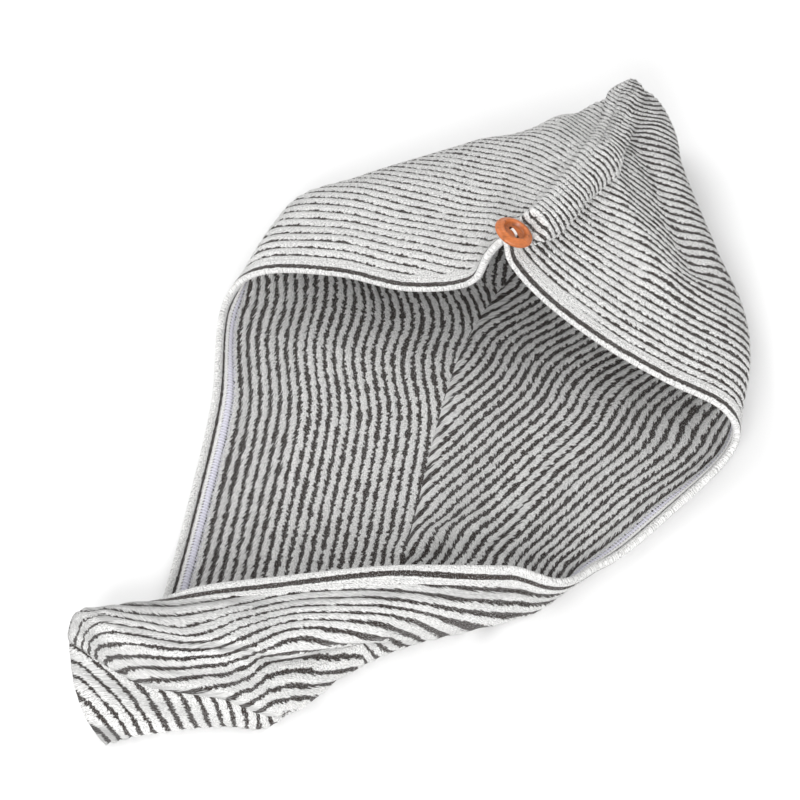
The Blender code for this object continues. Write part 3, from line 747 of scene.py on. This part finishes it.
def new_material(name, roughness, sheen=0.0):
    made = bpy.data.materials.new(name)
    made.use_nodes = True
    shader = made.node_tree.nodes["Principled BSDF"]
    shader.inputs["Roughness"].default_value = roughness
    shader.inputs["Sheen Weight"].default_value = sheen
    shader.inputs["Sheen Roughness"].default_value = 0.5
    return made, Wiring(made.node_tree), shader


def terry_material(name):
    """Striped looped pile that follows the cloth's own measures along and across."""
    settings = bpy.context.scene.towel
    made, w, shader = new_material(name, 0.95, 0.25)
    shader.inputs["Specular IOR Level"].default_value = 0.15
    pattern = w.node("ShaderNodeGroup", node_tree=terry_group())
    for label in ("along", "across", "ribs", "rim", "inside", "thinning"):
        read = w.node("ShaderNodeAttribute", attribute_name=label)
        w.feed(pattern.inputs[label.capitalize()], read.outputs["Fac"])
    sizes = {"Pitch": settings.rib_pitch, "Outer Half": settings.outer_line,
             "Inner Half": settings.inner_line}
    for label, value in sizes.items():
        pattern.inputs[label].default_value = value * MM_IN_M
    pattern.inputs["White"].default_value = (*settings.white, 1)
    pattern.inputs["Dark"].default_value = (*settings.dark, 1)
    w.feed(shader.inputs["Base Color"], pattern.outputs["Color"])
    bump = w.node("ShaderNodeBump", {
        "Height": pattern.outputs["Height"], "Distance": settings.pile, "Strength": 1.0})
    w.feed(shader.inputs["Normal"], bump.outputs[0])
    return made


def thread_material(name, colour):
    """Spun thread, with a fine twist."""
    made, w, shader = new_material(name, 0.8, 0.3)
    place = w.node("ShaderNodeTexCoord").outputs["Object"]
    twist = w.noise(place, *THREAD_TWIST)
    w.feed(shader.inputs["Base Color"], w.shaded(colour, w.scaled(twist, *TWIST_SHADE)))
    bump = w.node("ShaderNodeBump", {"Height": twist, "Distance": 0.0002, "Strength": 0.7})
    w.feed(shader.inputs["Normal"], bump.outputs[0])
    return made


def tape_material(name, colour):
    """The hem's inner border: grey pile, a row of dark ends of yarn, and pale overlock thread."""
    made, w, shader = new_material(name, 0.85, 0.3)
    along = w.node("ShaderNodeAttribute", attribute_name="along").outputs["Fac"]
    across = w.node("ShaderNodeAttribute", attribute_name="across").outputs["Fac"]
    x, y = w.math("MULTIPLY", along, MM_IN_M), w.math("MULTIPLY", across, MM_IN_M)
    fuzz = w.noise(w.spot(x, y), *TAPE_FUZZ)
    grain = w.noise(w.spot(x, y), *TAPE_GRAIN)
    loops = w.math("SINE", w.math("MULTIPLY", w.math("ADD", x, w.math("MULTIPLY", y, 0.5)), 3.0))
    wave = w.math("MULTIPLY", w.math("SUBTRACT", grain, 0.5), 2.6)
    from_row = w.math("ABSOLUTE", w.math("SUBTRACT", w.math("ADD", y, wave), TAPE_DASHES))
    dashes = w.math("SUBTRACT", 1.1, from_row, clamp=True)
    dashes = w.math("MULTIPLY", dashes, w.math("ADD", loops, 0.55, clamp=True))
    in_thread = w.math("ADD", w.math("SUBTRACT", w.math("ADD", y, wave), TAPE_DASHES), 0.5, clamp=True)
    pile = (*bpy.context.scene.towel.white, 1)
    both = w.mix(in_thread, pile, (*colour[:3], 1))
    deep = w.math("SUBTRACT", 0.9, w.math("MULTIPLY", in_thread, 0.5))
    shade = w.math("SUBTRACT", w.math("ADD", fuzz, grain), 1.0)
    shade = w.math("ADD", w.math("MULTIPLY", shade, deep), 0.86)
    dark = (*bpy.context.scene.towel.dark, 1)
    w.feed(shader.inputs["Base Color"], w.mix(w.math("MULTIPLY", dashes, 0.8), w.shaded(both, shade), dark))
    bump = w.node("ShaderNodeBump", {"Height": fuzz, "Distance": 0.0004, "Strength": 0.8})
    w.feed(shader.inputs["Normal"], bump.outputs[0])
    return made


def wood_material(name, colour):
    """Lacquered orange wood with fine straight grain."""
    made, w, shader = new_material(name, 0.42)
    shader.inputs["Coat Weight"].default_value = 0.25
    shader.inputs["Coat Roughness"].default_value = 0.3
    place = w.node("ShaderNodeTexCoord").outputs["Object"]
    turned = w.node("ShaderNodeMapping", {
        "Vector": place, "Rotation": (0.2, 0.3, 0.6), "Scale": (1.0, 5.0, 5.0)})
    grain = w.noise(turned.outputs[0], *WOOD_GRAIN)
    cloud = w.noise(place, *WOOD_CLOUDS)
    spots = w.noise(place, *WOOD_SPOTS)
    spots = w.math("MULTIPLY", w.math("SUBTRACT", spots, 0.6), 5.0, clamp=True)
    share = w.math("ADD", w.math("MULTIPLY", grain, 0.9), w.math("MULTIPLY", cloud, 0.9))
    share = w.math("SUBTRACT", w.math("SUBTRACT", share, 0.5), w.math("MULTIPLY", spots, 0.8), clamp=True)
    light = tuple(min(1.0, value * 1.3) for value in colour) + (1,)
    deep = tuple(value * 0.55 for value in colour) + (1,)
    # The button's dish and its holes are darkened with painted shade
    painted_dish_shade = w.node("ShaderNodeAttribute", attribute_name="painted_dish_shade").outputs["Fac"]
    painted_shade_colour = tuple(value * 0.16 for value in colour) + (1,)
    w.feed(shader.inputs["Base Color"], w.mix(painted_dish_shade, w.mix(share, deep, light), painted_shade_colour))
    w.feed(shader.inputs["Roughness"], w.scaled(grain, 0.2, 0.34))
    bump = w.node("ShaderNodeBump", {"Height": grain, "Distance": 0.0002, "Strength": 0.4})
    w.feed(shader.inputs["Normal"], bump.outputs[0])
    return made


# The cloth's own grid: samples in each section of a panel and of a hem, samples across, and the
# power that crowds the first section's samples at the ridge
ROW_STEPS = 11
RIM_STEPS = 16
SHELL_COLUMNS = 300
CURVE_COLUMNS = 281
RIDGE_CROWDING = 1.4
# The width over which the relief fades to a groove at the seam, the groove's depth, and how far in
# from the free edge a panel starts, under its hem
SEAM_FADE = 0.003
SEAM_GROOVE = 0.0007
PANEL_START = 0.0086
# The strip beside the free edge that carries the hems: its width, its samples across, and the
# sample along which its length is measured
RIM_WIDTH = 0.016
RIM_SAMPLES = 33
RIM_MEASURE = 8
# No piece reaches lower than this
LOWEST = 0.0002
# The ribs' section: the power that rounds it, and the share of it that lies below the cloth's face
RIB_ROUNDING = 0.8
RIB_SUNK = 0.75
# The way to the light, and how far the lines are painted thinner where the cloth faces it: painted light
LIGHT_SIDE = Vector((-0.45, 0.1, 0.89)).normalized()
THIN_FROM = 0.6
THIN_OVER = 0.35
THIN_MOST = 0.65


def grid_sections(steps):
    """The sections at which a fine grid is sampled. The ridge's first section has more of them."""
    first = np.linspace(0, 1, 2 * steps + 1) ** RIDGE_CROWDING
    later = np.linspace(1, LAST_SECTION, steps * (LAST_SECTION - 1) + 1)
    return np.concatenate([first, later[1:]])


def runs(points, axis):
    """The distance along a grid's lines from their start."""
    steps = np.linalg.norm(np.diff(points, axis=axis), axis=-1)
    zero = np.zeros_like(np.take(steps, [0], axis=axis))
    return np.concatenate([zero, np.cumsum(steps, axis=axis)], axis=axis)


def read_rows(rows, places):
    """Read each row of points at its own distances from the row's start."""
    read = []
    for points, at in zip(rows, places):
        run = runs(points, 0)
        read.append(np.stack([np.interp(at, run, points[:, axis]) for axis in range(3)], axis=-1))
    return np.array(read)


def fine_rows(side, sections):
    """The cloth's middle, sampled finely and eased in plan."""
    points = cloth(side, sections, np.linspace(0, SEAM_COLUMN, CURVE_COLUMNS))
    moved = points.copy()
    for ease in EASES:
        away = np.hypot(points[..., 0] * MM_IN_M - ease.x, points[..., 1] * MM_IN_M - ease.y)
        share = np.clip(1 - (away / ease.reach) ** 2, 0, 1) ** 2 / MM_IN_M
        moved[..., 0] += share * ease.right
        moved[..., 1] += share * ease.away
    return moved


def rib_shift(side, sections, columns):
    """How far ahead the ribs lie, in metres, as an array [section, column]."""
    table = np.array(RIB_SHIFTS[side], float)
    by_section = sum(
        np.array([np.interp(sections + ease, table[:, 0], values) for values in table[:, 1:].T])
        for ease in SHIFT_EASING) / len(SHIFT_EASING)
    net_columns = np.arange(len(by_section))
    return sum(
        np.array([np.interp(columns + ease, net_columns, row) for row in by_section.T])
        for ease in SHIFT_EASING) / len(SHIFT_EASING) / MM_IN_M


def rim_line(side, sections, columns):
    """The place of the outer hem's broad line, in millimetres, as an array [section, column]."""
    table = np.array(RIM_LINES[side], float)
    return np.tile(np.interp(sections, table[:, 0], table[:, 1])[:, None], (1, columns))


def grid_normals(points, side):
    """The outside direction at each point of a grid."""
    along, across = np.gradient(points, axis=0), np.gradient(points, axis=1)
    normal = np.cross(along, across) * (1 if side == "right" else -1)
    return normal / (np.linalg.norm(normal, axis=-1, keepdims=True) + 1e-12)


def panel_grid(side, sections, start, columns):
    """A grid over a panel from start to its seam: points, outside directions and distances."""
    found = {}
    for name in (side, PARTNER[side]):
        rows = fine_rows(name, sections)
        widths = runs(rows, 1)[:, -1]
        across = start + np.linspace(0, 1, columns)[None, :] * (widths[:, None] - start)
        points = read_rows(rows, across)
        found[name] = rows, points, grid_normals(points, name), across, widths
    rows, points, normals, across, widths = found[side]
    shift = rib_shift(side, sections, np.linspace(0, SEAM_COLUMN, CURVE_COLUMNS))
    ribs = across + np.array([
        np.interp(at, runs(row, 0), ahead) for row, at, ahead in zip(rows, across, shift)])
    # Both panels share their direction where they are sewn together
    partner = found[PARTNER[side]][2]
    for edge in (np.s_[0], np.s_[:, -1]):
        shared = normals[edge] + partner[edge]
        normals[edge] = shared / (np.linalg.norm(shared, axis=-1, keepdims=True) + 1e-12)
    return points, normals, across, ribs, widths


def add_mesh(name, points, faces, attributes, material):
    mesh = bpy.data.meshes.new(name)
    mesh.from_pydata(points.tolist(), [], faces)
    for label, values in attributes.items():
        attribute = mesh.attributes.new(label, "FLOAT", "POINT")
        attribute.data.foreach_set("value", np.asarray(values, np.float32).ravel())
    mesh.shade_smooth()
    mesh.materials.append(material)
    made = bpy.data.objects.new(name, mesh)
    bpy.context.scene.collection.objects.link(made)
    return made


def shell_faces(rows, columns, flip):
    """Quads over an outer and an inner grid and over the wall between them."""
    outer = np.arange(rows * columns).reshape(rows, columns)
    inner = outer + rows * columns

    def quads(a, b, c, d):
        made = np.stack([a, b, c, d], axis=-1).reshape(-1, 4)
        return made[:, ::-1] if flip else made

    faces = [
        quads(outer[:-1, :-1], outer[1:, :-1], outer[1:, 1:], outer[:-1, 1:]),
        quads(inner[:-1, :-1], inner[:-1, 1:], inner[1:, 1:], inner[1:, :-1]),
        quads(outer[:-1, 0], inner[:-1, 0], inner[1:, 0], outer[1:, 0]),
        quads(outer[:-1, -1], outer[1:, -1], inner[1:, -1], inner[:-1, -1]),
        quads(outer[0, :-1], outer[0, 1:], inner[0, 1:], inner[0, :-1]),
        quads(outer[-1, :-1], inner[-1, :-1], inner[-1, 1:], outer[-1, 1:]),
    ]
    return np.concatenate(faces).tolist()


def rib_height(across, ribs, pitch, rise):
    """The ribs' relief: rounded ribs with a groove at each line, and none of them in the hem."""
    away = (ribs - FIRST_LINE / MM_IN_M) / pitch
    away = np.abs(away - np.round(away)) * pitch
    away = np.where(across < HEM_END / MM_IN_M, pitch / 2, away)
    return rise * (np.sin(np.pi * np.abs(away) / pitch) ** RIB_ROUNDING - RIB_SUNK)


def light_thinning(normals):
    """How much of each line's width is painted away where the cloth faces up to the light: painted light.
    """
    faces_light = normals @ np.array(LIGHT_SIDE)
    return np.clip((faces_light - THIN_FROM) / THIN_OVER, 0, 1) * THIN_MOST


def build_panel(side):
    """A panel as one closed shell with its ribs, sewn to its partner without a gap."""
    settings = bpy.context.scene.towel
    sections = grid_sections(ROW_STEPS)
    points, normals, across, ribs, widths = panel_grid(side, sections, PANEL_START, SHELL_COLUMNS)
    along = runs(points, 0)
    from_seam = np.minimum(widths[:, None] - across, along)
    fade = np.clip(from_seam / SEAM_FADE, 0, 1)
    fade = fade * fade * (3 - 2 * fade)
    relief = rib_height(across, ribs, settings.rib_pitch, settings.rib_rise)
    relief = relief * fade - SEAM_GROOVE * (1 - fade)
    half = CLOTH_THICKNESS / 2
    outer = points + (half + relief)[..., None] * normals
    inner = points - (half + relief)[..., None] * normals
    for layer in (outer, inner):
        layer[..., 2] = np.maximum(layer[..., 2], LOWEST)
    rows, columns = across.shape
    # The lines are painted thinner where the cloth faces the light, as painted light, and are finer in the
    # tail, where the cloth is pressed together
    in_tail = np.clip(sections[:, None] - TAIL_START, 0, 1)
    thinning = light_thinning(normals) + TAIL_THINNING * in_tail
    rim = rim_line(side, sections, columns)
    return add_mesh(
        side + "_terry_panel", np.concatenate([outer.reshape(-1, 3), inner.reshape(-1, 3)]),
        shell_faces(rows, columns, side == "left"),
        {"along": np.concatenate([along, along]), "across": np.concatenate([across, across]),
         "ribs": np.concatenate([ribs, ribs]), "rim": np.concatenate([rim, rim]),
         "inside": np.concatenate([np.zeros_like(across), np.ones_like(across)]),
         "thinning": np.concatenate([thinning, np.zeros_like(thinning)])},
        terry_material(side + "_striped_terry"))


def ring_faces(rows, count, flip):
    """Quads along a closed outline swept over rows, with a cap at each end."""
    corner = np.arange(rows * count).reshape(rows, count)
    after = np.roll(corner, -1, axis=1)
    quads = np.stack([corner[:-1], after[:-1], after[1:], corner[1:]], axis=-1).reshape(-1, 4)
    caps = [corner[0][::-1].tolist(), corner[-1].tolist()]
    if flip:
        quads = quads[:, ::-1]
        caps = [cap[::-1] for cap in caps]
    return quads.tolist() + caps


def rim_sweep(name, side, outline, sections, material):
    """An outline swept along the panel's free edge."""
    outline = [HemPoint(point.across / MM_IN_M, point.height / MM_IN_M) for point in outline]
    rows = fine_rows(side, sections)
    count = len(outline)
    places = np.tile([point.across for point in outline], (len(sections), 1))
    deepest = np.linspace(0, RIM_WIDTH, RIM_SAMPLES)
    grid = read_rows(rows, np.tile(deepest, (len(sections), 1)))
    normals = grid_normals(grid, side)
    middle = read_rows(grid, places)
    turned = np.array([
        np.stack([np.interp(at, deepest, row[:, axis]) for axis in range(3)], axis=-1)
        for at, row in zip(places, normals)])
    heights = np.array([point.height for point in outline])
    points = middle + heights[None, :, None] * turned
    points[..., 2] = np.maximum(points[..., 2], LOWEST)
    along = np.tile(runs(grid[:, RIM_MEASURE], 0)[:, None], (1, count))
    inside = np.tile((heights < 0).astype(float), (len(sections), 1))
    return add_mesh(
        name, points.reshape(-1, 3), ring_faces(len(sections), count, side == "left"),
        {"along": along, "across": places, "ribs": places, "rim": rim_line(side, sections, count),
         "inside": inside, "thinning": np.zeros_like(along)},
        material)


# Stitches by Geometry Nodes
def stitch_tree(name):
    """Thread loops along a guide: each is a bent piece of thread that lies across the guide."""
    tree = bpy.data.node_groups.new(name, "GeometryNodeTree")
    for label, kind, default in (
            ("Guide", "NodeSocketGeometry", None), ("Spacing", "NodeSocketFloat", 0.0021),
            ("Reach", "NodeSocketFloat", 0.0028), ("Lean", "NodeSocketFloat", 0.0007),
            ("Rise", "NodeSocketFloat", 0.0007), ("Thread Radius", "NodeSocketFloat", 0.00028),
            ("Seed", "NodeSocketInt", 3), ("Material", "NodeSocketMaterial", None)):
        socket = tree.interface.new_socket(name=label, in_out="INPUT", socket_type=kind)
        if default is not None:
            socket.default_value = default
    tree.interface.new_socket(name="Stitches", in_out="OUTPUT", socket_type="NodeSocketGeometry")
    w = Wiring(tree)
    given, result = tree.nodes.new("NodeGroupInput").outputs, tree.nodes.new("NodeGroupOutput").inputs
    curve = w.node("GeometryNodeMeshToCurve", {"Mesh": given["Guide"]}).outputs[0]
    beads = w.node("GeometryNodeCurveToPoints", {"Curve": curve, "Length": given["Spacing"]}, mode="LENGTH")
    facing = w.node("GeometryNodeInputNamedAttribute", {"Name": "facing"}, data_type="FLOAT_VECTOR")
    upright = w.node("FunctionNodeAlignRotationToVector", {"Vector": facing.outputs[0]}, axis="Z")
    turned = w.node("FunctionNodeAlignRotationToVector", {
        "Rotation": upright.outputs[0], "Vector": beads.outputs["Tangent"]}, axis="X", pivot_axis="Z")
    reach, lean = given["Reach"], given["Lean"]
    back_reach, back_lean = w.math("MULTIPLY", reach, -1.0), w.math("MULTIPLY", lean, -1.0)
    arc = w.node("GeometryNodeCurveQuadraticBezier", {
        "Resolution": 5,
        "Start": w.node("ShaderNodeCombineXYZ", {"X": back_lean, "Y": back_reach}).outputs[0],
        "Middle": w.node("ShaderNodeCombineXYZ", {"Z": w.math("MULTIPLY", given["Rise"], 2.0)}).outputs[0],
        "End": w.node("ShaderNodeCombineXYZ", {"X": lean, "Y": reach}).outputs[0]})
    ring = w.node("GeometryNodeCurvePrimitiveCircle", {"Resolution": 5, "Radius": given["Thread Radius"]})
    thread = w.node("GeometryNodeCurveToMesh", {
        "Curve": arc.outputs[0], "Profile Curve": ring.outputs[0], "Fill Caps": True})
    scale = w.node("FunctionNodeRandomValue", {2: 0.8, 3: 1.2, "Seed": given["Seed"]}, data_type="FLOAT")
    laid = w.node("GeometryNodeInstanceOnPoints", {
        "Points": beads.outputs["Points"], "Instance": thread.outputs[0],
        "Rotation": turned.outputs[0], "Scale": scale.outputs[1]})
    real = w.node("GeometryNodeRealizeInstances", {"Geometry": laid.outputs[0]})
    finished = w.node("GeometryNodeSetMaterial", {
        "Geometry": real.outputs[0], "Material": given["Material"]})
    w.feed(result["Stitches"], finished.outputs[0])
    return tree


def run_tree(name, base, tree, values):
    """Apply a Geometry Nodes tree to a mesh and keep the result as a plain mesh object."""
    work = bpy.data.objects.new(name + "_guide", base)
    bpy.context.scene.collection.objects.link(work)
    modifier = work.modifiers.new("Nodes", "NODES")
    modifier.node_group = tree
    sockets = {item.name: item.identifier for item in tree.interface.items_tree if item.in_out == "INPUT"}
    for label, value in values.items():
        modifier[sockets[label]] = value
    bpy.context.view_layer.update()
    graph = bpy.context.evaluated_depsgraph_get()
    mesh = bpy.data.meshes.new_from_object(work.evaluated_get(graph))
    mesh.name = name
    bpy.data.objects.remove(work)
    made = bpy.data.objects.new(name, mesh)
    bpy.context.scene.collection.objects.link(made)
    if not len(mesh.polygons):
        raise RuntimeError(name + " came out empty")
    return made


def stitch_guide(side, sections):
    """A line along the overlocked tape, with the way that the cloth's inside faces."""
    rows = fine_rows(side, sections)
    places = np.linspace(0, RIM_WIDTH, RIM_SAMPLES)
    grid = read_rows(rows, np.tile(places, (len(sections), 1)))
    normals = grid_normals(grid, side)
    column = int(np.argmin(np.abs(places - STITCH_ACROSS / MM_IN_M)))
    points = grid[:, column] + normals[:, column] * STITCH_HEIGHT / MM_IN_M
    mesh = bpy.data.meshes.new(side + "_stitch_guide")
    mesh.from_pydata(points.tolist(), [(n, n + 1) for n in range(len(points) - 1)], [])
    attribute = mesh.attributes.new("facing", "FLOAT_VECTOR", "POINT")
    attribute.data.foreach_set("vector", (-normals[:, column]).astype(np.float32).ravel())
    return mesh


# Operators, one for each group of like pieces
def settle(piece, slot, *nodes):
    """Every piece rides on the towel's one body, and the frame's parts that it stands for are hidden. The
    slot is not used.
    """
    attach(piece, "root")
    if nodes:
        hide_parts(*nodes)
    return piece


class TOWEL_OT_hems(bpy.types.Operator):
    """Sweep the turned hems along both free edges"""

    bl_idname = "towel.hems"
    bl_label = "Hems"

    def execute(self, context):
        for side in ("left", "right"):
            sections = grid_sections(RIM_STEPS)
            hem = rim_sweep(side + "_turned_hem", side, HEM_OUTLINE, sections,
                            terry_material(side + "_hem_terry"))
            settle(hem, side + "_binding", side + "_hem")
        return {"FINISHED"}


class TOWEL_OT_overlock(bpy.types.Operator):
    """Lay the overlocked tape and its stitches inside the hems"""

    bl_idname = "towel.overlock"
    bl_label = "Overlock"

    def execute(self, context):
        settings = context.scene.towel
        tree = stitch_tree("Overlock Stitches")
        for side in ("left", "right"):
            sections = grid_sections(RIM_STEPS)
            tape = rim_sweep(side + "_tape", side, TAPE_OUTLINE, sections,
                             tape_material(side + "_tape_thread", settings.tape))
            settle(tape, "sewing_thread")
            stitches = run_tree(side + "_overlock_stitches", stitch_guide(side, sections), tree, {
                "Spacing": settings.stitch_spacing,
                "Material": thread_material(side + "_overlock_thread", settings.tape)})
            settle(stitches, "sewing_thread")
        return {"FINISHED"}


class TOWEL_OT_panels(bpy.types.Operator):
    bl_idname = "towel.panels"
    bl_label = "Panels"

    def execute(self, context):
        for side in ("left", "right"):
            panel = build_panel(side)
            settle(panel, side + "_terry", side + "_panel")
        return {"FINISHED"}


def button_frame():
    """The button's own axes: its underside's middle, with Z the way that it faces."""
    up = BUTTON_FACING
    across = (BUTTON_HOLE_LINE - BUTTON_HOLE_LINE.dot(up) * up).normalized()
    turn = Matrix((across, up.cross(across), up)).transposed().to_4x4()
    base = Vector(button_seat()) + (HEM_THICKNESS / 2 + SEWN_GAP) * up
    return Matrix.Translation(base) @ turn


def plain_copy(work, name, material):
    """The evaluated object as a plain mesh object at the origin."""
    bpy.context.view_layer.update()
    graph = bpy.context.evaluated_depsgraph_get()
    mesh = bpy.data.meshes.new_from_object(work.evaluated_get(graph))
    mesh.transform(work.matrix_world)
    mesh.name = name
    mesh.materials.clear()
    mesh.materials.append(material)
    made = bpy.data.objects.new(name, mesh)
    bpy.context.scene.collection.objects.link(made)
    return made


def shade_dish(mesh):
    """Write on each point of the button how dark the shade of its dish and holes is there."""
    inward = button_frame().inverted()
    painted_dish_shade = mesh.attributes.new("painted_dish_shade", "FLOAT", "POINT")
    for vertex, value in zip(mesh.vertices, painted_dish_shade.data):
        place = inward @ vertex.co
        past_edge = place.xy.length / (BUTTON_DIAMETER / 2) - DISH_EDGE
        inside = 1 - min(1, max(0, past_edge / DISH_EDGE_FADE))
        deep = min(1, max(0, (DISH_TOP - place.z / BUTTON_THICKNESS) / DISH_DEPTH))
        on_wall = place.z > DISH_BOTTOM * BUTTON_THICKNESS
        value.value = inside * deep * (WALL_SHADE if on_wall else BOTTOM_SHADE)
        from_hole = (Vector((abs(place.x), place.y)) - Vector((HOLE_SPACING / 2, 0))).length
        if from_hole < HOLE_DIAMETER / 2 + HOLE_REACH:
            value.value = 1


def strand_curves():
    """Three strands of thread from hole to hole, as round curves."""
    strands = bpy.data.curves.new("button_strands", "CURVE")
    strands.dimensions = "3D"
    half = HOLE_SPACING / 2
    top = BUTTON_THICKNESS * STRAND_LEVEL + THREAD_RADIUS
    path = [(-half * point.share, top - point.drop) for point in reversed(STRAND_COURSE[1:])]
    path += [(half * point.share, top - point.drop) for point in STRAND_COURSE]
    for strand in STRANDS:
        spline = strands.splines.new("POLY")
        spline.points.add(len(path) - 1)
        beside = strand.beside * STRAND_STEP * THREAD_RADIUS
        for point, (across, up) in zip(spline.points, path):
            point.co = (across, beside, up + strand.lift * 2 * THREAD_RADIUS, 1)
    strands.bevel_depth = THREAD_RADIUS
    strands.bevel_resolution = 3
    strands.use_fill_caps = True
    return strands


class TOWEL_OT_button(bpy.types.Operator):
    """Turn the wooden button, drill its two holes and sew it on"""

    bl_idname = "towel.button"
    bl_label = "Button"

    def execute(self, context):
        settings = context.scene.towel
        mesh = bpy.data.meshes.new("turned_button")
        outline = [
            (point.out * BUTTON_DIAMETER / 2, 0, point.up * BUTTON_THICKNESS) for point in BUTTON_OUTLINE]
        mesh.from_pydata(outline, [(n, n + 1) for n in range(len(outline) - 1)], [])
        work = bpy.data.objects.new("turned_button_work", mesh)
        context.scene.collection.objects.link(work)
        work.matrix_world = button_frame()
        smooth_line = work.modifiers.new("Smooth outline", "SUBSURF")
        smooth_line.levels = smooth_line.render_levels = 1
        lathe = work.modifiers.new("Turned", "SCREW")
        lathe.steps = lathe.render_steps = BUTTON_STEPS
        lathe.use_merge_vertices, lathe.merge_threshold = True, 0.00005
        lathe.use_smooth_shade = True
        drills = []
        for way in (1, -1):
            bpy.ops.mesh.primitive_cylinder_add(
                vertices=HOLE_SIDES, radius=HOLE_DIAMETER / 2, depth=3 * BUTTON_THICKNESS)
            drill = context.object
            drill.matrix_world = button_frame() @ Matrix.Translation((way * HOLE_SPACING / 2, 0, 0))
            cut = work.modifiers.new("Hole", "BOOLEAN")
            cut.object, cut.operation, cut.solver = drill, "DIFFERENCE", "EXACT"
            drills.append(drill)
        button = plain_copy(work, "turned_button", wood_material("orange_wood", settings.wood))
        for item in (work, *drills):
            bpy.data.objects.remove(item)
        shade_dish(button.data)
        button.data.shade_smooth()
        button.data.set_sharp_from_angle(angle=SHARP_EDGE)
        settle(button, "button_wood", "button")

        work = bpy.data.objects.new("button_strands_work", strand_curves())
        context.scene.collection.objects.link(work)
        work.matrix_world = button_frame()
        sewn = plain_copy(
            work, "button_strands", thread_material("white_sewing_thread", SEWING_WHITE))
        bpy.data.objects.remove(work)
        settle(sewn, "sewing_thread", "button_thread")
        return {"FINISHED"}


class TOWEL_OT_stage(bpy.types.Operator):
    """Set the floor, the soft light and the camera"""

    bl_idname = "towel.stage"
    bl_label = "Stage"

    def execute(self, context):
        scene, settings = context.scene, context.scene.towel
        mesh = bpy.data.meshes.new("floor")
        ways = ((-1, -1), (1, -1), (1, 1), (-1, 1))
        mesh.from_pydata([(x * FLOOR_HALF, y * FLOOR_HALF, 0) for x, y in ways], [], [(0, 1, 2, 3)])
        floor = bpy.data.objects.new("floor", mesh)
        scene.collection.objects.link(floor)
        made, _, shader = new_material("pale_floor", 0.9)
        shader.inputs["Base Color"].default_value = (*settings.floor, 1)
        shader.inputs["Specular IOR Level"].default_value = 0.1
        mesh.materials.append(made)

        world = bpy.data.worlds.new("soft_studio")
        world.use_nodes = True
        world.node_tree.nodes["Background"].inputs["Color"].default_value = (1, 1, 1, 1)
        world.node_tree.nodes["Background"].inputs["Strength"].default_value = WORLD_LIGHT
        scene.world = world
        for name, place, width, power in LAMPS:
            lamp = bpy.data.lights.new(name, "AREA")
            lamp.shape, lamp.size, lamp.energy = "DISK", width, power
            held = bpy.data.objects.new(name, lamp)
            held.location = place
            held.rotation_euler = Vector(place).to_track_quat("Z", "Y").to_euler()
            scene.collection.objects.link(held)

        camera = bpy.data.cameras.new("camera")
        camera.sensor_width = 36
        camera.lens = camera.sensor_width * CAMERA_DISTANCE / FRAME_WIDTH
        camera.clip_start = 0.01
        held = bpy.data.objects.new("camera", camera)
        tilt = np.radians(CAMERA_ELEVATION)
        back = Vector((0, -np.cos(tilt), np.sin(tilt)))
        held.location = back * CAMERA_DISTANCE
        held.rotation_euler = back.to_track_quat("Z", "Y").to_euler()
        scene.collection.objects.link(held)
        scene.camera = held
        scene.view_settings.view_transform = "Standard"
        return {"FINISHED"}


class TOWEL_PT_sidebar(bpy.types.Panel):
    """The towel's pieces and settings in the 3D view's sidebar"""

    bl_idname = "TOWEL_PT_sidebar"
    bl_label = "Hair Turban Towel"
    bl_space_type = "VIEW_3D"
    bl_region_type = "UI"
    bl_category = "Towel"

    def draw(self, context):
        layout, settings = self.layout, context.scene.towel
        for name in TowelSettings.__annotations__:
            layout.prop(settings, name)
        for piece in PIECES:
            layout.operator(piece.bl_idname)


PIECES = (TOWEL_OT_stage, TOWEL_OT_hems, TOWEL_OT_overlock, TOWEL_OT_panels, TOWEL_OT_button)


def register():
    for item in (TowelSettings, *PIECES, TOWEL_PT_sidebar):
        bpy.utils.register_class(item)
    bpy.types.Scene.towel = bpy.props.PointerProperty(type=TowelSettings)


def unregister():
    del bpy.types.Scene.towel
    for item in (TOWEL_PT_sidebar, *reversed(PIECES), TowelSettings):
        bpy.utils.unregister_class(item)


def main():
    register()
    bpy.ops.towel.stage()
    bpy.ops.towel.hems()
    bpy.ops.towel.overlock()
    bpy.ops.towel.panels()
    bpy.ops.towel.button()


if __name__ == "__main__":
    main()
